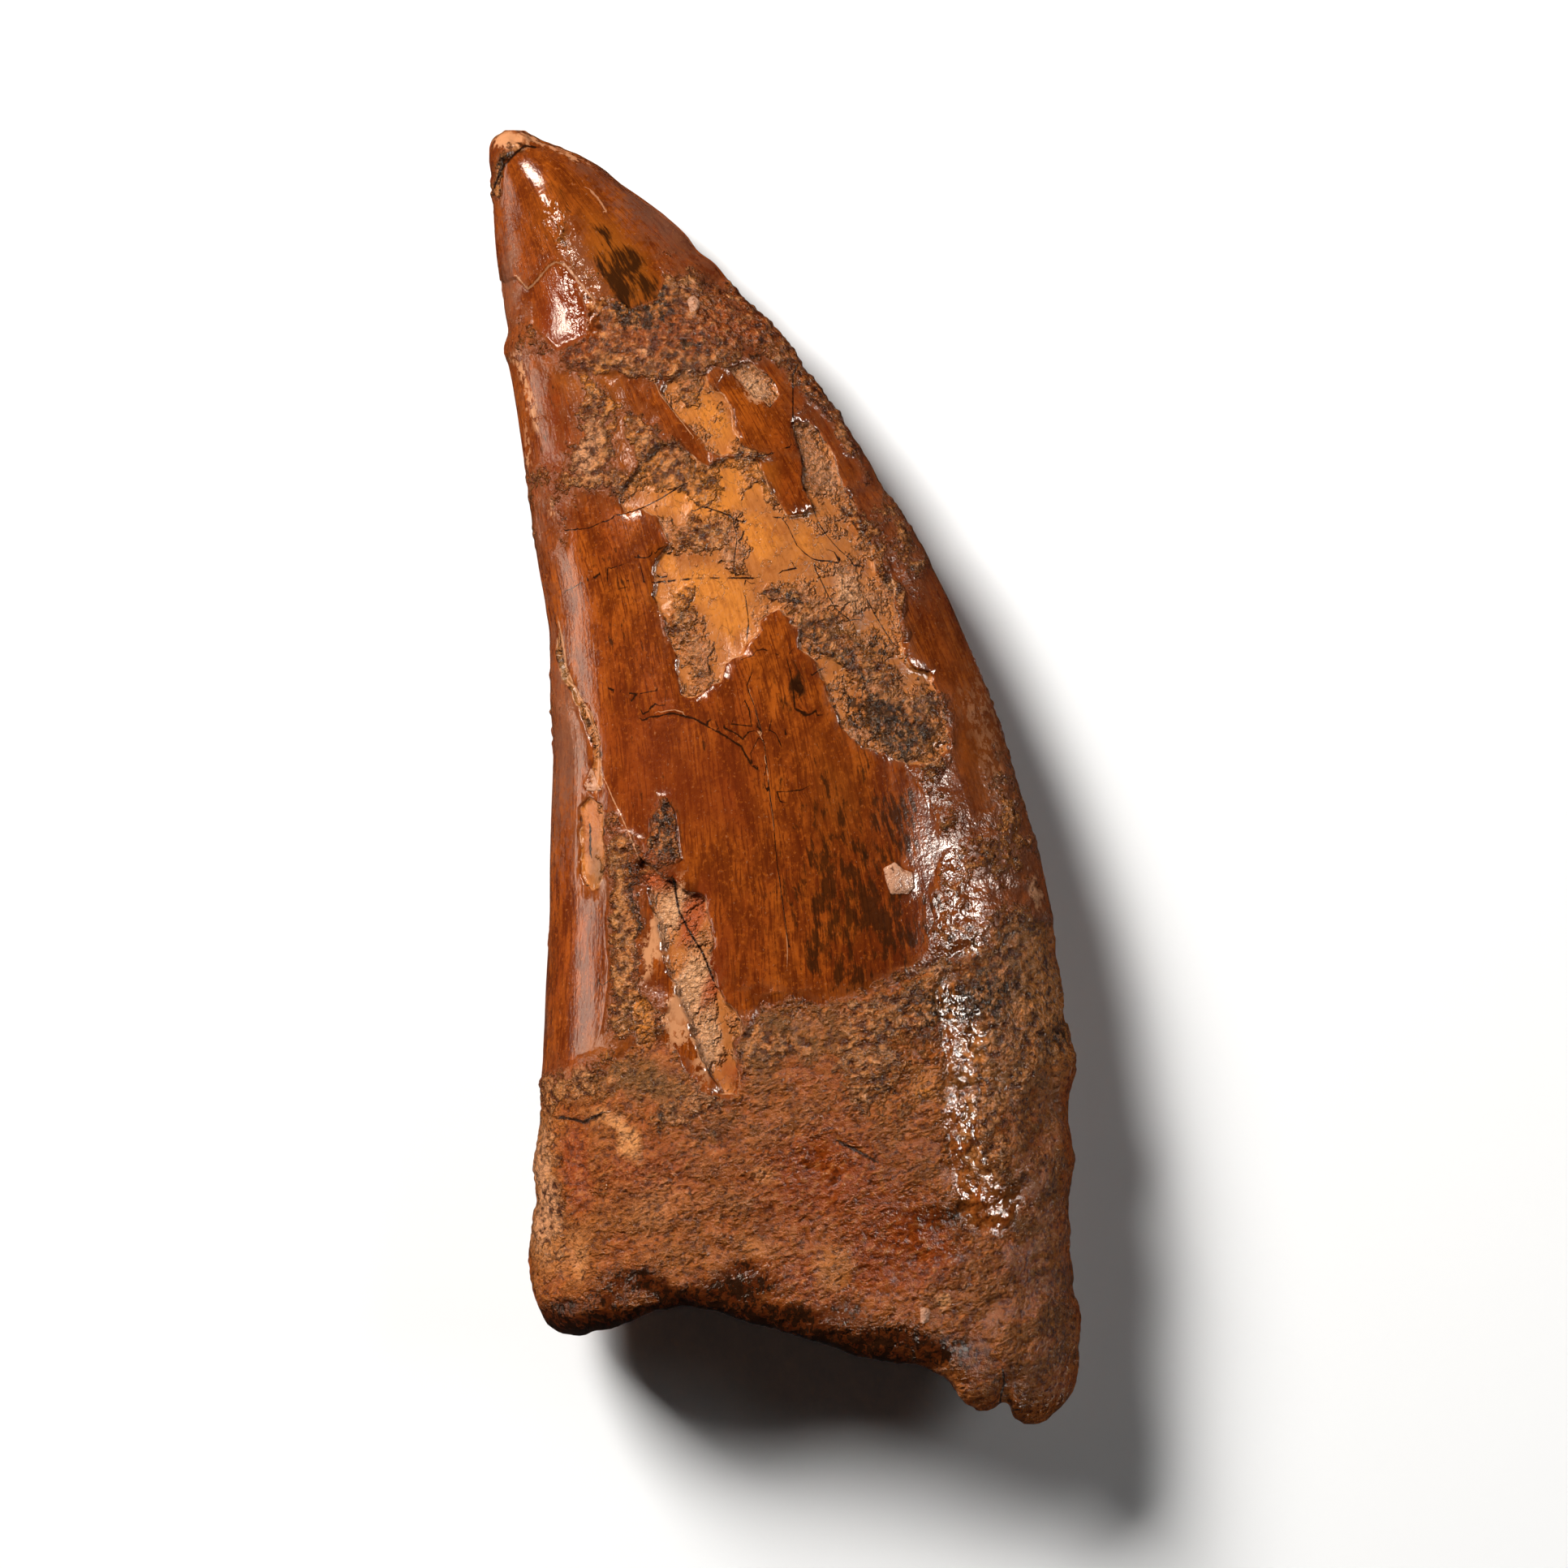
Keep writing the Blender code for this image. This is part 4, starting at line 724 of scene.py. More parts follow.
def relief(skin, settings):
    """Height of the surface over the plain form, in millimetres."""
    x, y, z, upper = skin.x, skin.y, skin.z, skin.upper

    def noise(size_x, size_y, size_z, seed):
        return lattice_noise(x / size_x, y / size_y, z / size_z, seed)

    swell = 0.12 * noise(7, 9, 6, 11)
    root = np.clip(0.5 + root_depth(x, y) / 1.2, 0, 1)
    coarse = 0.2 * noise(2.2, 2.2, 2.2, 23) + 0.08 * noise(1, 1, 1, 31)
    rough_x, rough_y = broken_edges(x, y)
    height = swell + root * (coarse - 0.22)
    for side, table in ((upper, UPPER_SCARS), (~upper, LOWER_SCARS)):
        for depth, outline in table.values():
            ledge = np.clip(0.5 + depth_in_any(rough_x, rough_y, [outline]) / SCAR_LEDGE, 0, 1)
            height = height - side * depth * ledge
    height = height - upper * drop_below_steps(x, y)
    height = height - upper * np.clip(FACET_FALL * depth_in_any(x, y, [FACET], 1.0), 0, FACET_DEPTH)
    _, ridge_near, _ = line_offset(x, y, [(1.0, TIP_RIDGE)], 3.5)
    height = height + upper * TIP_RIDGE_HEIGHT * np.exp(-(ridge_near**2) / (2 * TIP_RIDGE_REACH**2))
    width, reached = on_lines(x, y, CRACKS)
    cut = CRACK_DEPTH * np.maximum(width - THINNEST_CUT, 0)
    height = height - upper * cut * reached
    width, reached = on_lines(x, y, SEAMS)
    height = height + upper * SEAM_HEIGHT * width * reached
    height = height + upper * PEBBLE_HEIGHT * np.clip(0.3 + depth_in_any(x, y, PEBBLES) / 0.3, 0, 1)
    grainy = np.clip((crust_cover(x, y, upper) - 0.42) / 0.3, 0, 1)
    lumps = 0.13 * grains(x, y, 0.7, 61) + 0.1 * grains(x, y, 0.4, 62) + 0.07 * noise(0.5, 0.5, 0.5, 63)
    height = height + settings.crust_relief * grainy * (1 - 0.5 * root) * (lumps + 0.05)
    fibres = 0.03 * noise(0.6, 0.4, 0.5, 91) + 0.05 * noise(1.1, 0.9, 0.9, 92)
    pits = np.clip(noise(0.7, 0.7, 0.7, 93) - 0.42, 0, 1)
    height = height + root * settings.root_relief * (fibres + 0.06 * grains(x, y, 0.45, 94) - 0.35 * pits)
    sparkle = np.clip(spots(x, y, SPARKLE_SPOTS), 0, 1) * upper
    dimples = 0.04 * noise(0.55, 0.6, 0.55, 95) + 0.04 * noise(1.3, 1.4, 1.3, 96)
    height = height + sparkle * dimples
    wrinkle = 0.015 * noise(0.8, 2.6, 1.5, 97) + 0.03 * noise(2.4, 3, 2.4, 98)
    height = height + (1 - root) * wrinkle
    cap = np.clip((y - 42.6) / 0.8, 0, 1) * upper
    height = height + cap * 0.12 * noise(0.6, 0.6, 0.6, 99)
    rubble = RUBBLE * (noise(3, 3, 3, 71) + 0.5 * noise(1.5, 1.5, 1.5, 73))
    return height + skin.hollow * (rubble + 0.15 * grains(x, z, 0.8, 75))


def skin_mesh(name, places, marks):
    """A closed mesh of the rings, each end gathered to one point, with each mark as a point attribute."""
    rings, around = places.shape[:2]

    def gathered(grid):
        return np.concatenate([grid[:1, 0], grid[1:-1].reshape((-1,) + grid.shape[2:]), grid[-1:, 0]])

    points = gathered(places)
    start = 1 + np.arange(rings - 3)[:, None] * around
    here, beside = np.arange(around)[None, :], (np.arange(around)[None, :] + 1) % around
    quads = [start + here, start + beside, start + around + beside, start + around + here]
    quads = np.stack(quads, axis=-1)
    last = 1 + (rings - 3) * around
    first_fan = np.stack([0 * here[0], 1 + beside[0], 1 + here[0]], axis=-1)
    last_fan = np.stack([last + here[0], last + beside[0], 0 * here[0] + len(points) - 1], axis=-1)
    corners = np.concatenate([quads.reshape(-1), first_fan.reshape(-1), last_fan.reshape(-1)])
    sizes = np.concatenate([np.full(quads.size // 4, 4), np.full(2 * around, 3)])
    mesh = bpy.data.meshes.new(name)
    mesh.vertices.add(len(points))
    mesh.vertices.foreach_set("co", (points * MM).astype(np.float32).ravel())
    mesh.loops.add(len(corners))
    mesh.loops.foreach_set("vertex_index", corners.astype(np.int32))
    mesh.polygons.add(len(sizes))
    mesh.polygons.foreach_set("loop_start", (np.cumsum(sizes) - sizes).astype(np.int32))
    mesh.update(calc_edges=True)
    for mark, grid in marks.items():
        values = gathered(grid)
        write_attribute(mesh, mark, values)
    return mesh


def write_attribute(mesh, name, values):
    """Writes one number, or one vector, for each point of the mesh."""
    kind, field = ("FLOAT_VECTOR", "vector") if values.ndim == 2 else ("FLOAT", "value")
    attribute = mesh.attributes.new(name, kind, "POINT")
    attribute.data.foreach_set(field, np.ascontiguousarray(values, np.float32).ravel())


def read_attribute(mesh, name, width=1):
    """Reads back what write_attribute wrote."""
    values = np.empty(len(mesh.vertices) * width, np.float32)
    mesh.attributes[name].data.foreach_get("vector" if width > 1 else "value", values)
    return values.reshape(-1, width) if width > 1 else values


def thinned(obj, faces):
    """The object's mesh with about this many triangles, most of them where the surface turns."""
    decimate = obj.modifiers.new("Thin", "DECIMATE")
    decimate.ratio = faces / (2 * len(obj.data.polygons))
    decimate.use_collapse_triangulate = True
    graph = bpy.context.evaluated_depsgraph_get()
    mesh = bpy.data.meshes.new_from_object(obj.evaluated_get(graph))
    obj.modifiers.clear()
    return mesh


def plan_shift():
    """Millimetres from the outline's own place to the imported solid's, which is centred on its box."""
    low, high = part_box("tooth")
    outline = np.array(DISTAL_EDGE + MESIAL_EDGE)
    middle = (outline.min(axis=0) + outline.max(axis=0)) / 2
    return np.array([(low.x + high.x) / 2 / MM, (low.y + high.y) / 2 / MM]) - middle


def surface_marks(x, y, z, upper, hollow):
    """What each place on the tooth is made of and how it is stained, one array for each attribute."""
    rough_x, rough_y = broken_edges(x, y)
    scars_above = depth_in_any(rough_x, rough_y, [outline for _, outline in UPPER_SCARS.values()])
    scars_below = depth_in_any(rough_x, rough_y, [outline for _, outline in LOWER_SCARS.values()])
    slow = lattice_noise(x / 6, y / 9, z / 6, 85)
    mottle = lattice_noise(x / 2.4, y / 3.6, z / 2.4, 86)
    dark = np.maximum(spots(x, y, DARK_SPOTS), root_end_dark_band(x, y))
    marks = {
        "loss": on_sides(upper, scars_above, scars_below),
        "root": root_depth(x, y),
        "pebble": on_sides(upper, depth_in_any(x, y, PEBBLES), -2.0),
        "crust": crust_cover(x, y, upper),
        "dark": on_sides(upper, dark, np.clip(0.5 * slow + 0.5 * mottle - 0.1, 0, 1)),
        "hollow": hollow,
    }
    stains = {
        "speckle": (SPECKLE_SPOTS, 0.3 + 0.5 * slow),
        "pale": (PALE_SPOTS, 0.7 * mottle - 0.2),
        "gold": (GOLD_SPOTS, 0.2 - 0.6 * slow),
        "red": (RED_SPOTS, 0.2 + 0.6 * slow),
        "grey": (GREY_SPOTS, -0.5 * slow - 0.5 * mottle),
        "gloss": (GLOSS_SPOTS, 0.2),
        "sparkle": (SPARKLE_SPOTS, 0.0),
    }
    for name, (table, below) in stains.items():
        marks[name] = on_sides(upper, spots(x, y, table), np.clip(below, 0, 1))
    for name, lines in (("crack", CRACKS), ("seam", SEAMS)):
        width, near, side = line_offset(x, y, lines)
        half_widths_away = np.clip(side * near / width, -FAR_HALF_WIDTHS, FAR_HALF_WIDTHS)
        marks[name] = on_sides(upper, half_widths_away, FAR_HALF_WIDTHS)
        marks[name + "_near"] = on_sides(upper, near, FAR_FROM_LINE)
    return marks


def linear(hex_colour):
    """An sRGB hex colour as linear red, green and blue."""
    parts = [int(hex_colour[i : i + 2], 16) / 255 for i in (1, 3, 5)]
    return tuple(p / 12.92 if p <= 0.04045 else ((p + 0.055) / 1.055) ** 2.4 for p in parts)


def add(tree, kind, inputs=None, out=0, **settings):
    """Adds a node, sets it up, links or fills the inputs given by name or number, returns one output."""
    node = tree.nodes.new(kind)
    for setting, value in settings.items():
        setattr(node, setting, value)
    for key, value in (inputs or {}).items():
        socket = node.inputs[key]
        if isinstance(value, bpy.types.NodeSocket):
            tree.links.new(value, socket)
        else:
            socket.default_value = value
    return node.outputs[out]


# The attributes on the mesh that the materials read, beside the direction of growth.
MARKS = (
    "loss", "root", "pebble", "crust", "dark", "speckle", "pale", "gold", "red", "grey", "gloss", "sparkle",
    "crack", "crack_near", "seam", "seam_near", "hollow",
)

# Width of a sand grain in millimetres.
GRAIN = 0.36

# Sockets of a Mix node that mixes colours.
MIX_A, MIX_B, MIX_OUT = 6, 7, 2


class Painter:
    """Builds up one material out of patterns of a real size, marks on the mesh and coats of colour."""

    def __init__(self, material):
        material.use_nodes = True
        self.tree = material.node_tree
        self.tree.nodes.clear()
        place = add(self.tree, "ShaderNodeTexCoord", out="Object")
        self.place = add(self.tree, "ShaderNodeVectorMath", {0: place, "Scale": 1 / MM}, operation="SCALE")
        self.growth = add(self.tree, "ShaderNodeAttribute", out="Vector", attribute_name="growth")
        inputs = {"Vector": self.place, "Scale": 1.8, "Detail": 3.0}
        shift = add(self.tree, "ShaderNodeTexNoise", inputs, out="Color")
        inputs = {0: shift, 1: (0.9, 0.9, 0.9), 2: self.place}
        crooked = add(self.tree, "ShaderNodeVectorMath", inputs, operation="MULTIPLY_ADD")
        inputs = {"Vector": crooked, "Scale": 1 / GRAIN}
        grain = add(self.tree, "ShaderNodeTexVoronoi", inputs, out="Distance")
        self.off_grain, self.kind = grain, grain.node.outputs["Color"]
        self.marks = {
            name: add(self.tree, "ShaderNodeAttribute", out="Fac", attribute_name=name) for name in MARKS
        }

    def pattern(
        self, size, stretch=(1, 1, 1), detail=3.0, roughness=0.6, along_growth=False, shift=0.0, turn=0.0
    ):
        """Noise from 0 to 1 whose lumps are about this many millimetres across, times the stretch."""
        scale = tuple(1 / (size * s) for s in stretch)
        source = self.growth if along_growth else self.place
        inputs = {"Vector": source, "Location": (shift,) * 3, "Rotation": (0, 0, math.radians(turn))}
        turned = add(self.tree, "ShaderNodeMapping", inputs)
        placed = add(self.tree, "ShaderNodeMapping", {"Vector": turned, "Scale": scale})
        inputs = {"Vector": placed, "Scale": 1.0, "Detail": detail, "Roughness": roughness}
        return add(self.tree, "ShaderNodeTexNoise", inputs)

    def grit(self, size, stretch=(1, 1, 1), share=0.5, shift=0.0, turn=0.0):
        """Speckles with hard edges, about this many millimetres across, over this share of the surface."""
        noise = self.pattern(size, stretch, 4.0, 0.68, shift=shift, turn=turn)
        middle = 0.5 + 0.35 * (0.5 - share)
        return self.mask(middle - 0.05, middle + 0.05, (1.0, noise))

    def weighed(self, first, *terms):
        """A first number plus sockets, each with its weight, given as (weight, socket)."""
        total = first
        for weight, socket in terms:
            inputs = {0: socket, 1: weight, 2: total}
            total = add(self.tree, "ShaderNodeMath", inputs, operation="MULTIPLY_ADD")
        return total

    def mask(self, low, high, *terms, least=0.0, most=1.0):
        """Rises smoothly from least to most while the weighed sum of the terms goes from low to high."""
        total = self.weighed(0.0, *terms)
        inputs = {"Value": total, "From Min": low, "From Max": high, "To Min": least, "To Max": most}
        return add(self.tree, "ShaderNodeMapRange", inputs, interpolation_type="SMOOTHSTEP")

    def rises(self, socket, low, high, most=1.0):
        """Rises from nothing to most while one socket goes from low to high."""
        return self.mask(low, high, (1.0, socket), most=most)

    def falls(self, socket, low, high, first=1.0):
        """Falls from the first value to nothing while one socket goes from low to high."""
        return self.mask(low, high, (1.0, socket), least=first, most=0.0)

    def line(self, name, ragged_edge, reach):
        """Where one of the thin lines on the mesh runs, this many half widths out and a little broken."""
        across = add(self.tree, "ShaderNodeMath", {0: self.marks[name]}, operation="ABSOLUTE")
        near = self.falls(self.marks[name + "_near"], 0.35, 0.65)
        return self.mask(0.6 + reach, 1.6 + reach, (1.0, across), (2.2, ragged_edge), least=near, most=0.0)

    def coats(self, base, *layers):
        """Lays coats of colour over a base, each as (how much, colour)."""
        for amount, colour in layers:
            inputs = {0: amount, MIX_A: base, MIX_B: colour}
            base = add(self.tree, "ShaderNodeMix", inputs, MIX_OUT, data_type="RGBA")
        return base

    def levels(self, base, *layers):
        """The same for a plain number, such as roughness or height."""
        for amount, level in layers:
            base = add(self.tree, "ShaderNodeMix", {0: amount, 2: base, 3: level}, data_type="FLOAT")
        return base


def stain(paint, shift):
    """Where manganese has settled: black specks that crowd together towards the middle of a dark spot."""
    specks = paint.grit(0.4, (1, 1.5, 1), 0.5, shift=shift)
    blots = paint.grit(1.3, (1, 1.2, 1), 0.5, shift=shift + 1)
    return paint.mask(1.0, 1.5, (1.0, paint.marks["dark"]), (0.6, specks), (0.4, blots), most=0.85)


def enamel_finish(paint, hues):
    """Enamel stained by iron and polished by burial: glossy, with soft dark streaks along the crown."""
    marks = paint.marks
    broad = paint.pattern(4.0, (1, 2, 1), 2.0)
    streaks = paint.pattern(0.5, (1, 9, 1), 3.0, 0.6, along_growth=True)
    hairs = paint.pattern(0.16, (1, 14, 1), 2.0, 0.5, along_growth=True, shift=3.0)
    dashes = paint.pattern(0.44, (1, 3.2, 1), 4.0, 0.66, along_growth=True, shift=11.0)
    clouds = paint.pattern(1.6, (1, 1.8, 1), 4.0, 0.62, shift=5.0)
    fine = paint.pattern(0.24, (1, 1.4, 1), 3.0, 0.6, shift=8.0)
    film = paint.grit(0.5, (1, 1.2, 1), 0.5, shift=9.0)
    specks = paint.grit(0.22, (1, 1, 1), 0.06, shift=13.0)
    inked = paint.mask(1.07, 1.22, (0.9, dashes), (0.75, clouds), (0.36, marks["speckle"]), most=0.85)
    smudged = paint.mask(1.6, 1.88, (0.84, marks["dark"]), (1.1, clouds), (0.9, dashes), most=0.95)
    colour = paint.coats(
        hues["enamel"],
        (paint.rises(broad, 0.4, 0.64, 0.7), hues["enamel_bright"]),
        (paint.falls(clouds, 0.4, 0.6, 0.75), hues["enamel_deep"]),
        (paint.rises(streaks, 0.46, 0.66, 0.35), hues["enamel_deep"]),
        (paint.falls(streaks, 0.34, 0.46, 0.3), hues["enamel_bright"]),
        (paint.rises(hairs, 0.5, 0.62, 0.75), hues["enamel_deep"]),
        (paint.rises(fine, 0.56, 0.66, 0.45), hues["enamel_bright"]),
        (paint.falls(fine, 0.36, 0.44, 0.55), hues["enamel_deep"]),
        (paint.mask(0.3, 1.1, (0.8, marks["gold"]), (0.6, clouds), most=0.8), hues["enamel_gold"]),
        (paint.mask(0.2, 1.2, (1.0, marks["red"]), (0.4, clouds), most=0.85), hues["enamel_red"]),
        (paint.mask(0.3, 1.1, (0.9, marks["grey"]), (0.3, film), most=0.75), hues["enamel_grey"]),
        (paint.mask(0.25, 0.85, (1.0, marks["crust"]), (0.25, film), most=0.8), hues["film"]),
        # Pale specks in the film and on the tops of the fine bump: partly dry specks, partly painted glints.
        (paint.mask(0.0, 0.8, (0.6, marks["crust"]), (0.5, specks), most=specks), hues["film_pale"]),
        (paint.rises(fine, 0.68, 0.74, 0.6), hues["film_pale"]),
        (paint.mask(0.75, 1.15, (1.0, marks["pale"]), (0.3, film), (0.4, streaks)), hues["peach"]),
        (inked, hues["ink"]),
        (smudged, hues["ink"]),
    )
    filmed = paint.rises(marks["crust"], 0.2, 0.7)
    roughness = paint.weighed(0.06, (0.1, clouds), (0.08, fine), (0.14, filmed))
    orange_peel = paint.pattern(0.55, detail=3.0, roughness=0.6, shift=17.0)
    bumpy = paint.mask(0.0, 1.0, (1.0, filmed), most=orange_peel)
    along = (0.01, streaks), (0.008, hairs)
    height = paint.weighed(0.0, *along, (0.02, fine), (0.03, clouds), (0.22, bumpy))
    return colour, roughness, height


def dentine_finish(paint, hues):
    """Bare dentine where the enamel has come off: smooth and golden, with patches that have crumbled."""
    marks = paint.marks
    clouds = paint.pattern(1.5, (1, 1.3, 1), 4.0, 0.65, shift=21.0)
    fine = paint.pattern(0.26, (1, 1.3, 1), 4.0, 0.68, shift=23.0)
    lumps = paint.pattern(0.46, (1.2, 1, 1), 3.0, 0.6, shift=25.0)
    fibres = paint.pattern(0.3, (1, 6, 1), 3.0, 0.6, along_growth=True, shift=26.0)
    places = paint.pattern(2.0, (1, 1.2, 1), 4.0, 0.65, shift=27.0)
    hair = paint.pattern(1.8, (1, 1.3, 1), 4.0, 0.55, shift=28.0)
    worn = (0.24, marks["crust"]), (0.26, marks["pale"]), (-0.12, marks["gold"])
    crumbly = paint.mask(0.59, 0.69, (1.0, places), *worn)
    dome = paint.falls(paint.off_grain, 0.0, 0.6)
    past = paint.falls(hair, 0.5, 0.509, 0.6)
    crack = paint.mask(0.488, 0.497, (1.0, hair), most=past)
    smooth = paint.coats(
        hues["dentine"],
        (paint.mask(0.5, 1.1, (1.0, marks["gold"]), (0.6, clouds)), hues["gold"]),
        (paint.rises(clouds, 0.5, 0.7, 0.7), hues["amber"]),
        (paint.rises(fibres, 0.48, 0.64, 0.45), hues["amber"]),
        (paint.rises(fine, 0.55, 0.7, 0.4), hues["peach"]),
        (paint.falls(fine, 0.32, 0.44, 0.5), hues["umber"]),
        (paint.mask(0.45, 0.95, (1.0, marks["pale"]), (0.3, clouds)), hues["peach"]),
        (paint.mask(0.95, 1.25, (1.0, marks["pale"]), (0.4, clouds)), hues["cream"]),
        (paint.mask(0.45, 0.9, (0.9, marks["grey"]), (0.5, clouds), most=0.9), hues["olive"]),
        (crack, hues["umber"]),
    )
    crumbled = paint.coats(
        hues["crumble"],
        # Painted highlight: peach on the tops of the lumps that raise the bump.
        (paint.rises(lumps, 0.5, 0.64, 0.7), hues["peach"]),
        (paint.mask(0.45, 0.95, (1.0, marks["pale"]), (0.3, clouds)), hues["cream"]),
        (paint.mask(0.45, 0.9, (0.9, marks["grey"]), (0.5, clouds), most=0.8), hues["olive"]),
        # Painted shade: umber in the hollows of the lumps and in the gaps between grains.
        (paint.falls(lumps, 0.36, 0.48, 0.85), hues["umber"]),
        (paint.mask(0.9, 1.3, (1.0, marks["pale"]), (0.6, fine), most=0.75), hues["cream"]),
        (paint.rises(paint.kind, 0.54, 0.64, 0.35), hues["peach"]),
        (paint.mask(0.74, 1.0, (1.0, paint.off_grain), (0.6, fine), most=0.5), hues["umber"]),
    )
    colour = paint.coats(
        smooth,
        (crumbly, crumbled),
        (paint.mask(0.4, 1.1, (1.0, marks["red"]), (0.4, clouds), most=0.85), hues["scar_red"]),
        (stain(paint, 29.0), hues["soot"]),
    )
    roughness = paint.weighed(0.12, (0.16, clouds), (0.1, fine), (-0.06, crumbly))
    smooth_height = paint.weighed(0.0, (0.08, clouds), (0.03, fine))
    crumbled_height = paint.weighed(0.0, (0.5, lumps), (0.08, fine), (0.06, dome))
    broken = paint.levels(smooth_height, (crumbly, crumbled_height))
    return colour, roughness, paint.weighed(0.0, (1.0, broken), (-0.02, crack))


def crust_finish(paint, hues):
    """Sand cemented on under a clear consolidant: glossy brown grains, their tops painted lighter and the
    gaps between them painted dark as shade.
    """
    marks = paint.marks
    broad = paint.pattern(3.4, (1, 1, 1), 2.0, shift=38.0)
    clouds = paint.pattern(1.3, (1, 1, 1), 4.0, 0.65, shift=31.0)
    lumps = paint.pattern(0.6, (1.2, 1, 1), 3.0, 0.6, shift=33.0)
    fine = paint.pattern(0.22, (1, 1, 1), 3.0, 0.65, shift=35.0)
    dome = paint.falls(paint.off_grain, 0.0, 0.6)
    colour = paint.coats(
        hues["crust"],
        (paint.rises(broad, 0.5, 0.62, 0.6), hues["tan"]),
        (paint.rises(clouds, 0.42, 0.62, 0.9), hues["umber"]),
        (paint.rises(paint.kind, 0.52, 0.64, 0.35), hues["sand"]),
        (paint.falls(paint.kind, 0.32, 0.42, 0.4), hues["root_deep"]),
        (paint.mask(0.2, 1.0, (1.0, marks["red"]), (0.4, lumps), most=0.8), hues["root_red"]),
        (paint.mask(0.3, 1.1, (1.0, marks["gold"]), (0.4, lumps), most=0.8), hues["gold"]),
        (paint.mask(0.45, 0.95, (1.0, marks["pale"]), (0.5, lumps)), hues["peach"]),
        # Painted highlight: the tops of the lumps and of the fine grain, which raise the bump, are painted
        # paler.
        (paint.rises(lumps, 0.54, 0.68, 0.7), hues["sand"]),
        (paint.rises(fine, 0.57, 0.68, 0.9), hues["peach"]),
        # Painted shade: the hollows of the lumps and the gaps between grains are painted darker.
        (paint.falls(lumps, 0.38, 0.5, 0.85), hues["root_deep"]),
        (paint.mask(0.76, 1.04, (1.0, paint.off_grain), (0.6, fine), most=0.5), hues["pit"]),
        (stain(paint, 37.0), hues["soot"]),
    )
    roughness = paint.weighed(0.06, (0.1, clouds), (0.08, fine))
    height = paint.weighed(0.0, (0.55, lumps), (0.1, fine), (0.06, dome))
    return colour, roughness, height


def root_finish(paint, hues):
    """Root bone: fine grained under a thin consolidant, red-brown to tan, the grain's tops painted lighter
    and its deepest pits painted almost black as shade.
    """
    marks = paint.marks
    clouds = paint.pattern(2.6, (1, 1.2, 1), 4.0, 0.6, shift=41.0)
    grain = paint.pattern(0.36, (1.3, 1, 1), 3.0, 0.6, shift=43.0, turn=-22.0)
    fine = paint.pattern(0.2, (1.15, 1, 1), 3.0, 0.65, shift=45.0, turn=-22.0)
    broad = paint.pattern(2.0, (1.3, 1, 1), 4.0, 0.65, shift=48.0)
    rough = paint.mask(0.4, 0.62, (1.0, broad), (0.1, marks["pale"]))
    colour = paint.coats(
        hues["root"],
        (paint.rises(clouds, 0.42, 0.62, 0.8), hues["root_tan"]),
        (paint.rises(rough, 0.0, 1.0, 0.4), hues["umber"]),
        (paint.mask(0.25, 0.9, (1.0, marks["red"]), (0.3, clouds), most=0.95), hues["root_red"]),
        (paint.mask(0.4, 1.0, (0.9, marks["grey"]), (0.3, rough), (0.2, grain), most=0.8), hues["olive"]),
        (paint.mask(0.35, 1.0, (1.0, marks["gold"]), (0.5, grain), most=0.9), hues["dentine"]),
        (paint.mask(0.5, 0.95, (1.0, marks["pale"]), (0.4, fine)), hues["sand"]),
        # Painted highlight and shade: the tops of the grain and fine noise, which raise the bump, are painted
        # tan, and their hollows deep brown and pit colour.
        (paint.rises(grain, 0.52, 0.66, 0.75), hues["tan"]),
        (paint.falls(grain, 0.36, 0.48, 0.75), hues["root_deep"]),
        (paint.rises(fine, 0.62, 0.72, 0.5), hues["tan"]),
        (paint.falls(fine, 0.33, 0.43, 0.7), hues["pit"]),
        (paint.mask(0.2, 0.9, (1.0, marks["dark"]), (0.3, clouds), most=0.85), hues["root_deep"]),
        (stain(paint, 49.0), hues["soot"]),
    )
    roughness = paint.weighed(0.04, (0.06, clouds), (0.08, fine))
    coarse = paint.mask(0.0, 1.0, (1.0, rough), most=grain)
    height = paint.weighed(0.0, (0.14, grain), (0.3, coarse), (0.12, fine))
    worn = paint.mask(0.3, 1.0, (0.8, marks["red"]), (1.2, marks["dark"]), most=0.8)
    return colour, roughness, paint.levels(height, (worn, paint.weighed(0.0, (0.05, grain), (0.02, fine))))


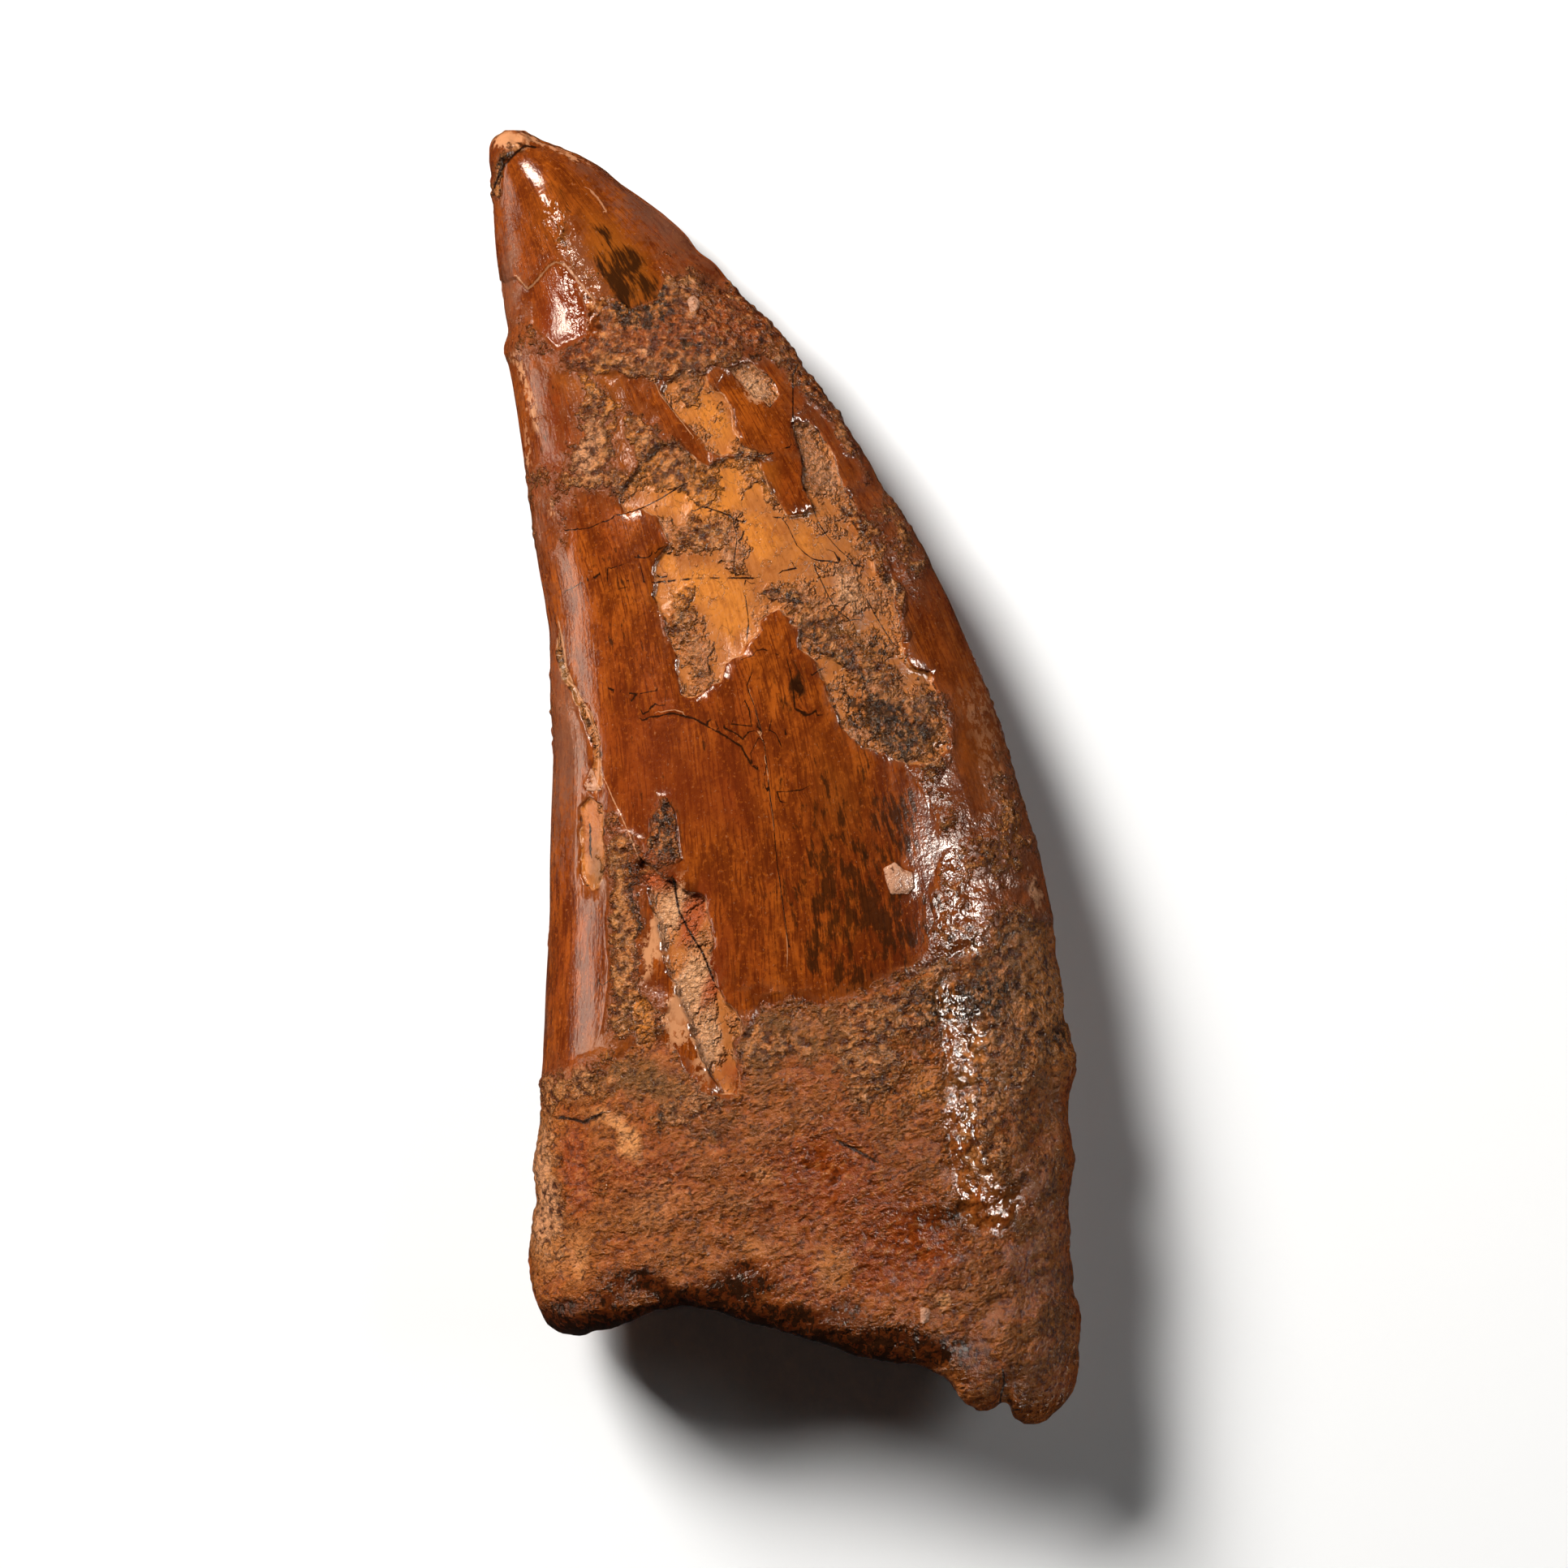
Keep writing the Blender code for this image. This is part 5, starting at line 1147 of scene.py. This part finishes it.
def tooth_material(hues):
    """Fossil tooth: stained enamel over dentine and root, with sand crust and a thin clear consolidant."""
    material = bpy.data.materials.new("stained_fossil_enamel")
    paint = Painter(material)
    marks = paint.marks
    enamel = enamel_finish(paint, hues)
    dentine = dentine_finish(paint, hues)
    root = root_finish(paint, hues)
    crust = crust_finish(paint, hues)
    ragged_edge = paint.pattern(0.3, (1, 1, 1), 3.0, 0.6, shift=51.0)
    broken_edge = paint.pattern(1.1, (1, 1, 1), 4.0, 0.65, shift=53.0)
    loss = paint.weighed(-0.1, (1.0, marks["loss"]), (0.2, ragged_edge))
    lost = paint.rises(loss, -0.03, 0.03)
    rooted = paint.mask(1.4, 2.0, (1.0, marks["root"]), (3.0, broken_edge))
    grainy = paint.mask(1.32, 1.46, (1.0, marks["crust"]), (0.6, ragged_edge), (0.9, broken_edge))
    rubble = paint.rises(marks["hollow"], 0.1, 0.6)
    layers = ((lost, dentine), (rooted, root), (grainy, crust), (rubble, crust))
    colour = paint.coats(enamel[0], *[(amount, finish[0]) for amount, finish in layers])
    roughness = paint.levels(enamel[1], *[(amount, finish[1]) for amount, finish in layers])
    height = paint.levels(enamel[2], *[(amount, finish[2]) for amount, finish in layers])
    # Along the chip edges: a pale rim, partly a painted highlight on the lit edge, and on the outer side a
    # dark line, painted shade and partly dirt.
    edge = add(paint.tree, "ShaderNodeMath", {0: loss}, operation="ABSOLUTE")
    broken = paint.rises(broken_edge, 0.48, 0.58, 0.85)
    rim = paint.mask(0.02, 0.09, (1.0, edge), least=broken, most=0.0)
    shaded_and_dirty = paint.falls(broken_edge, 0.38, 0.47, 0.85)
    edge_shade_and_dirt = paint.mask(0.03, 0.13, (1.0, edge), least=shaded_and_dirty, most=0.0)
    pebble = paint.mask(-0.04, 0.04, (1.0, marks["pebble"]), (0.12, ragged_edge), (-0.04, broken_edge))
    # The rim and the seam lines are painted pale, partly as painted highlight.
    colour = paint.coats(
        colour,
        (rim, hues["rim"]),
        (edge_shade_and_dirt, hues["pit"]),
        (paint.mask(0.0, 1.0, (1.0, pebble), most=paint.rises(ragged_edge, 0.3, 0.5)), hues["pebble"]),
        (paint.rises(paint.line("seam", ragged_edge, 0.6), 0.0, 1.0, 0.75), hues["rim"]),
        (paint.line("crack", ragged_edge, 0.8), hues["pit"]),
    )
    glossy = paint.rises(marks["gloss"], 0.1, 0.8, 0.9)
    where = (1.0, marks["sparkle"]), (0.5, broken_edge), (-0.25, ragged_edge)
    wrinkled = paint.mask(0.25, 0.8, *where, most=0.92)
    folds = paint.pattern(0.46, (1, 1.2, 1), 2.0, 0.5, shift=55.0)
    wrinkles = paint.weighed(0.0, (0.1, folds), (0.03, ragged_edge))
    smoothed = paint.weighed(0.0, (0.02, ragged_edge))
    roughness = paint.levels(roughness, (glossy, 0.12), (wrinkled, 0.08))
    height = paint.levels(height, (glossy, smoothed), (wrinkled, wrinkles))
    height = paint.weighed(height, (0.1, paint.mask(0.0, 1.0, (1.0, pebble), most=ragged_edge)))
    bump = add(paint.tree, "ShaderNodeBump", {"Height": height, "Strength": 1.0, "Distance": MM})
    shader = add(paint.tree, "ShaderNodeBsdfPrincipled", {
        "Base Color": colour, "Roughness": roughness, "Normal": bump, "Specular IOR Level": 0.4,
    })
    add_surface(paint.tree, shader)
    return material


def add_surface(tree, shader):
    """Ends a material with its surface."""
    output = tree.nodes.new("ShaderNodeOutputMaterial")
    tree.links.new(shader, output.inputs["Surface"])


def denticle_material(hues):
    """Worn enamel of the saw edge: the same stain, duller, with paler brown patches."""
    material = bpy.data.materials.new("worn_saw_edge_enamel")
    paint = Painter(material)
    clouds = paint.pattern(1.2, (1, 1, 1), 3.0, 0.6, shift=61.0)
    fine = paint.pattern(0.2, (1, 1, 1), 3.0, 0.6, shift=63.0)
    colour = paint.coats(
        hues["enamel_red"],
        (paint.rises(clouds, 0.4, 0.65), hues["film"]),
        (paint.rises(fine, 0.5, 0.7, 0.8), hues["enamel_deep"]),
    )
    bump = add(paint.tree, "ShaderNodeBump", {"Height": paint.weighed(0.0, (0.03, fine)), "Distance": MM})
    roughness = paint.weighed(0.25, (0.25, fine))
    inputs = {"Base Color": colour, "Roughness": roughness, "Normal": bump, "IOR": 1.55}
    add_surface(paint.tree, add(paint.tree, "ShaderNodeBsdfPrincipled", inputs))
    return material


def denticle_tree(material):
    """Geometry nodes that set denticles along a cutting edge, a little uneven in size."""
    tree = bpy.data.node_groups.new("denticle_row", "GeometryNodeTree")
    face = tree.interface
    face.new_socket("Edge", in_out="INPUT", socket_type="NodeSocketGeometry")
    for name in ("Pitch", "Width", "Height", "Thickness"):
        face.new_socket(name, in_out="INPUT", socket_type="NodeSocketFloat")
    face.new_socket("Seed", in_out="INPUT", socket_type="NodeSocketInt")
    face.new_socket("Row", in_out="OUTPUT", socket_type="NodeSocketGeometry")
    given = tree.nodes.new("NodeGroupInput").outputs
    curve = add(tree, "GeometryNodeMeshToCurve", {"Mesh": given["Edge"]})
    inputs = {"Curve": curve, "Length": given["Pitch"]}
    evenly = add(tree, "GeometryNodeResampleCurve", inputs, mode="LENGTH")
    tangent = add(tree, "GeometryNodeInputTangent")
    turned = add(tree, "FunctionNodeAlignRotationToVector", {"Vector": tangent}, axis="X", pivot_axis="Z")
    lump = add(tree, "GeometryNodeMeshIcoSphere", {"Radius": 1.0, "Subdivisions": 2})
    size = add(tree, "ShaderNodeCombineXYZ", {0: given["Width"], 1: given["Height"], 2: given["Thickness"]})
    inputs = {2: 0.8, 3: 1.1, "Seed": given["Seed"]}
    vary = add(tree, "FunctionNodeRandomValue", inputs, 1, data_type="FLOAT")
    scale = add(tree, "ShaderNodeVectorMath", {0: size, "Scale": vary}, operation="SCALE")
    inputs = {"Points": evenly, "Instance": lump, "Rotation": turned, "Scale": scale}
    placed = add(tree, "GeometryNodeInstanceOnPoints", inputs)
    real = add(tree, "GeometryNodeRealizeInstances", {"Geometry": placed})
    smooth = add(tree, "GeometryNodeSetShadeSmooth", {"Geometry": real})
    dressed = add(tree, "GeometryNodeSetMaterial", {"Geometry": smooth, "Material": material})
    output = tree.nodes.new("NodeGroupOutput")
    tree.links.new(dressed, output.inputs["Row"])
    return tree


def cutting_edge(name, across, first, last):
    """A chain of points along one cutting edge, between two shares of the tooth's length."""
    shares = np.linspace(first, last, 400)
    u = np.full(shares.shape, 0.5 + 0.5 * across)
    x, y = plan_of(shares, u)
    distance = shares * AXIS_LENGTH
    z = by_distance(LOWER_FACE, distance) + by_distance(THICKNESS_BELOW, distance)
    shift = plan_shift()
    points = np.stack([x + shift[0], y + shift[1], z], axis=-1) * MM
    mesh = bpy.data.meshes.new(name)
    mesh.from_pydata(points.tolist(), [(i, i + 1) for i in range(len(points) - 1)], [])
    obj = bpy.data.objects.new(name, mesh)
    bpy.context.scene.collection.objects.link(obj)
    return obj


def set_input(modifier, name, value):
    """Sets a modifier's input by its socket's identifier."""
    for item in modifier.node_group.interface.items_tree:
        if item.item_type == "SOCKET" and item.in_out == "INPUT" and item.name == name:
            modifier[item.identifier] = value


def denticle_row(name, tree, sizes, across, first, last):
    """One row of denticles as a plain mesh."""
    row = cutting_edge(name, across, first, last)
    modifier = row.modifiers.new("Denticles", "NODES")
    modifier.node_group = tree
    set_input(modifier, "Pitch", sizes.denticle_pitch)
    set_input(modifier, "Width", DENTICLE_WIDTH * sizes.denticle_pitch)
    set_input(modifier, "Height", sizes.denticle_height)
    set_input(modifier, "Thickness", DENTICLE_THICKNESS * sizes.denticle_height)
    set_input(modifier, "Seed", sizes.seed)
    graph = bpy.context.evaluated_depsgraph_get()
    row.data = bpy.data.meshes.new_from_object(row.evaluated_get(graph))
    row.modifiers.clear()
    return row


class ToothSizes(bpy.types.PropertyGroup):
    """Sizes that set the character of the surface."""

    denticle_pitch: FloatProperty(
        name="Denticle pitch",
        description="Length of edge that one denticle takes",
        default=0.62 * MM,
        unit="LENGTH",
    )
    denticle_height: FloatProperty(
        name="Denticle height",
        description="Half the length of a denticle across the edge",
        default=0.14 * MM,
        unit="LENGTH",
    )
    crust_relief: FloatProperty(
        name="Crust relief", description="Strength of the sand crust's lumps", default=1.0
    )
    root_relief: FloatProperty(
        name="Root relief", description="Strength of the root's fibres and pits", default=1.0
    )
    seed: IntProperty(name="Seed", description="Seed of the denticles' uneven sizes", default=7)


def hue(name, description, hex_colour):
    """A colour that a user can change."""
    return FloatVectorProperty(
        name=name, description=description, subtype="COLOR", size=3, default=linear(hex_colour)
    )


class ToothColours(bpy.types.PropertyGroup):
    """Colours of the stained tooth."""

    enamel: hue("Enamel", "Iron-stained enamel", "#84390E")
    enamel_bright: hue("Bright enamel", "Enamel where the stain is thin", "#A04E12")
    enamel_deep: hue("Deep enamel", "Enamel where the stain is thick", "#521D06")
    enamel_gold: hue("Golden enamel", "Enamel over pale dentine", "#8E4A13")
    enamel_red: hue("Red enamel", "Red-brown enamel", "#6A260B")
    enamel_grey: hue("Grey enamel", "Grey-brown enamel on the flanks", "#6E4836")
    film: hue("Film", "Thin brown film over enamel", "#743A18")
    # Also painted glints: pale specks on the enamel's fine bump.
    film_pale: hue("Pale film", "Dry specks in the film", "#8E5C3C")
    dentine: hue("Dentine", "Bare dentine", "#AA642F")
    gold: hue("Golden dentine", "The yellowest dentine", "#C4742C")
    amber: hue("Amber", "Orange-brown veins in bare dentine", "#8E4A1C")
    crumble: hue("Crumbled dentine", "Dentine that has crumbled", "#A86234")
    cream: hue("Cream", "Palest fresh break", "#CC9468")
    # Also a painted highlight on the tops of the root's grain.
    tan: hue("Tan", "Weathered tan surface", "#A25E2C")
    # Also a painted highlight on the tops of crust and crumbled dentine lumps.
    peach: hue("Peach", "Pale fresh break", "#BA7E54")
    # Also a painted highlight on the tops of crust lumps.
    sand: hue("Sand", "Pale sand grains", "#C4814A")
    olive: hue("Olive", "Olive-brown mineral stain", "#62411F")
    # Also painted shade in the hollows and gaps of crumbled dentine.
    umber: hue("Umber", "Brown sand and dirt", "#663A12")
    crust: hue("Crust", "Sand crust", "#94501E")
    root: hue("Root", "Root bone", "#8A4214")
    root_red: hue("Red root", "Red-brown root bone", "#80340A")
    root_tan: hue("Tan root", "Weathered root bone", "#96511F")
    # Also painted shade in the hollows of the crust and the root.
    root_deep: hue("Deep root", "Root bone in its hollows", "#3E1506")
    scar_red: hue("Scar red", "Reddish fresh break", "#984420")
    # Partly a painted highlight along lit edges of broken enamel and along seams.
    rim: hue("Broken rim", "Thin pale edge of broken enamel", "#B88058")
    pebble: hue("Pebble", "Pale pebbles stuck to the tooth", "#B98566")
    # Also painted shade in the gaps of the crust, in the root's hollows and along chip edges.
    ink: hue("Ink", "Dark streaks in the enamel", "#2C1506")
    pit: hue("Pit", "Dirt in cracks, pits and gaps between grains", "#281004")
    soot: hue("Manganese", "Black manganese stain", "#1A0E06")


def hues_of(scene):
    """The colours with an alpha, by name."""
    colours = scene.tooth_colours
    return {key: (*getattr(colours, key), 1.0) for key in ToothColours.__annotations__}


class TOOTH_OT_make_tooth(bpy.types.Operator):
    """Makes the tooth's skin with its chips, cracks, crust and root"""

    bl_idname = "fossil_tooth.make_tooth"
    bl_label = "Make tooth"

    def execute(self, context):
        skin = Skin()
        places = np.stack([skin.x, skin.y, skin.z], axis=-1)
        places = places + skin.outward() * relief(skin, context.scene.tooth_sizes)[..., None]
        places[..., 2] = np.maximum(places[..., 2], 0.0)
        growth = np.stack([skin.u * 36, skin.share * AXIS_LENGTH, 12.0 * skin.upper], axis=-1)
        marks = {"growth": growth, "side": skin.upper.astype(float), "hollow": skin.hollow}
        tooth = bpy.data.objects.new("tooth_surface", skin_mesh("tooth_surface", places, marks))
        context.scene.collection.objects.link(tooth)
        tooth.data = thinned(tooth, FACES)
        self.dress(tooth.data)
        tooth.data.materials.clear()
        tooth.data.materials.append(tooth_material(hues_of(context.scene)))
        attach(tooth, "root")
        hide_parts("tooth")
        return {"FINISHED"}

    def dress(self, mesh):
        """Writes the marks on the thinned mesh and moves it onto the frame, inside the solid's box."""
        points = np.empty(len(mesh.vertices) * 3, np.float32)
        mesh.vertices.foreach_get("co", points)
        points = points.reshape(-1, 3).astype(float) / MM
        upper = read_attribute(mesh, "side") > 0.5
        hollow = read_attribute(mesh, "hollow")
        mesh.attributes.remove(mesh.attributes["side"])
        mesh.attributes.remove(mesh.attributes["hollow"])
        for name, values in surface_marks(*points.T, upper, hollow).items():
            write_attribute(mesh, name, values)
        low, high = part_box("tooth")
        points[:, :2] += plan_shift()
        points = np.clip(points, np.array(low) / MM, np.array(high) / MM)
        mesh.vertices.foreach_set("co", (points * MM).astype(np.float32).ravel())
        mesh.shade_smooth()
        mesh.update()


class TOOTH_OT_make_denticles(bpy.types.Operator):
    """Makes the saw-like denticles on both cutting edges"""

    bl_idname = "fossil_tooth.make_denticles"
    bl_label = "Make denticles"

    def execute(self, context):
        tree = denticle_tree(denticle_material(hues_of(context.scene)))
        sizes = context.scene.tooth_sizes
        rows = [
            denticle_row("mesial_denticles", tree, sizes, *MESIAL_ROW),
            denticle_row("distal_denticles", tree, sizes, *DISTAL_ROW),
        ]
        for row in rows:
            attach(row, "root")
        return {"FINISHED"}


# The view: the photo's width in pixels and its scale give the millimetres that it covers. Its middle is in
# the outline's own millimetres, and the outline lies this high over the table.
PHOTO_WIDTH = 1932
PIXELS_PER_MM = 18
FRAME_WIDTH = PHOTO_WIDTH / PIXELS_PER_MM
FRAME_CENTRE = (-0.11, -0.44)
OUTLINE_HEIGHT = 8.0
LENS = 400.0
SENSOR = 36.0
NEAREST_SEEN = 0.01

# The stage, in metres: half the table's width, its gap below the tooth, and where the lights aim.
TABLE_HALF = 1.5
TABLE_GAP = 0.00002
LIGHTS_AIM = (0, 0, 0.008)
WORLD_LIGHT = 0.014
PAPER_WHITE = (0.9, 0.9, 0.9, 1)


def area_light(name, place, size, power, colour, lights_up=True, glints=True):
    """A soft light aimed at the middle of the tooth, which may only light it up or only glint on it."""
    light = bpy.data.lights.new(name, "AREA")
    light.shape = "RECTANGLE"
    light.size, light.size_y = size
    light.energy = power
    light.color = colour
    obj = bpy.data.objects.new(name, light)
    obj.location = place
    obj.visible_diffuse = lights_up
    obj.visible_glossy = glints
    obj.rotation_euler = (Vector(LIGHTS_AIM) - obj.location).to_track_quat("-Z", "Y").to_euler()
    bpy.context.scene.collection.objects.link(obj)


def floor_material():
    """White paper, matt, with a faint tooth."""
    material = bpy.data.materials.new("matt_white_paper")
    paint = Painter(material)
    fibre = paint.pattern(0.6, (1, 1, 1), 3.0, 0.6)
    bump = add(paint.tree, "ShaderNodeBump", {"Height": paint.weighed(0.0, (0.01, fibre)), "Distance": MM})
    shader = add(paint.tree, "ShaderNodeBsdfPrincipled", {
        "Base Color": PAPER_WHITE, "Roughness": 0.9, "Specular IOR Level": 0.2, "Normal": bump,
    })
    add_surface(paint.tree, shader)
    return material


class TOOTH_OT_make_stage(bpy.types.Operator):
    """Makes the pale table, the soft lights and the camera that looks straight down"""

    bl_idname = "fossil_tooth.make_stage"
    bl_label = "Make stage"

    def execute(self, context):
        half = TABLE_HALF
        corners = [(-half, -half, 0), (half, -half, 0), (half, half, 0), (-half, half, 0)]
        mesh = bpy.data.meshes.new("table")
        mesh.from_pydata(corners, [], [(0, 1, 2, 3)])
        mesh.materials.append(floor_material())
        table = bpy.data.objects.new("table", mesh)
        table.location.z = -TABLE_GAP
        table.visible_glossy = False
        context.scene.collection.objects.link(table)
        # A light that only glints stands a little nearer than the one beside it, so that it isn't hidden.
        area_light("key", (-0.468, 0.497, 0.565), (0.34, 0.34), 14.5, (1.0, 0.99, 0.97), glints=False)
        area_light("key_glint", (-0.44, 0.467, 0.55), (0.17, 0.17), 5.4, (1.0, 0.84, 0.7), lights_up=False)
        area_light("right_fill", (0.56, 0.1, 0.42), (0.3, 0.32), 0.8, (1.0, 1.0, 1.0), glints=False)
        area_light("right_glint", (0.53, 0.095, 0.4), (0.1, 0.18), 5.6, (1.0, 0.9, 0.8), lights_up=False)
        area_light("left_glint", (-0.6, -0.06, 0.085), (0.4, 0.17), 1.5, (1.0, 0.82, 0.66), lights_up=False)
        world = bpy.data.worlds.new("studio")
        world.use_nodes = True
        background = world.node_tree.nodes["Background"]
        background.inputs["Color"].default_value = (1, 1, 1, 1)
        background.inputs["Strength"].default_value = WORLD_LIGHT
        context.scene.world = world
        camera = bpy.data.cameras.new("camera")
        camera.lens = LENS
        camera.sensor_width = SENSOR
        camera.clip_start = NEAREST_SEEN
        eye = bpy.data.objects.new("camera", camera)
        shift = plan_shift()
        height = OUTLINE_HEIGHT + LENS * FRAME_WIDTH / SENSOR
        eye.location = Vector((FRAME_CENTRE[0] + shift[0], FRAME_CENTRE[1] + shift[1], height)) * MM
        context.scene.collection.objects.link(eye)
        context.scene.camera = eye
        context.scene.view_settings.view_transform = "Standard"
        return {"FINISHED"}


class TOOTH_PT_panel(bpy.types.Panel):
    """Lists the sizes, the colours and the buttons that make the pieces"""

    bl_idname = "TOOTH_PT_panel"
    bl_label = "Fossil tooth"
    bl_space_type = "VIEW_3D"
    bl_region_type = "UI"
    bl_category = "Fossil tooth"

    def draw(self, context):
        layout = self.layout
        for key in ToothSizes.__annotations__:
            layout.prop(context.scene.tooth_sizes, key)
        for key in ToothColours.__annotations__:
            layout.prop(context.scene.tooth_colours, key)
        for operator in OPERATORS:
            layout.operator(operator.bl_idname)


OPERATORS = (TOOTH_OT_make_tooth, TOOTH_OT_make_denticles, TOOTH_OT_make_stage)
CLASSES = (ToothSizes, ToothColours, *OPERATORS, TOOTH_PT_panel)


def register():
    for cls in CLASSES:
        bpy.utils.register_class(cls)
    bpy.types.Scene.tooth_sizes = PointerProperty(type=ToothSizes)
    bpy.types.Scene.tooth_colours = PointerProperty(type=ToothColours)


def unregister():
    del bpy.types.Scene.tooth_colours
    del bpy.types.Scene.tooth_sizes
    for cls in reversed(CLASSES):
        bpy.utils.unregister_class(cls)


def main():
    register()
    bpy.ops.fossil_tooth.make_tooth()
    bpy.ops.fossil_tooth.make_denticles()
    bpy.ops.fossil_tooth.make_stage()


if __name__ == "__main__":
    main()
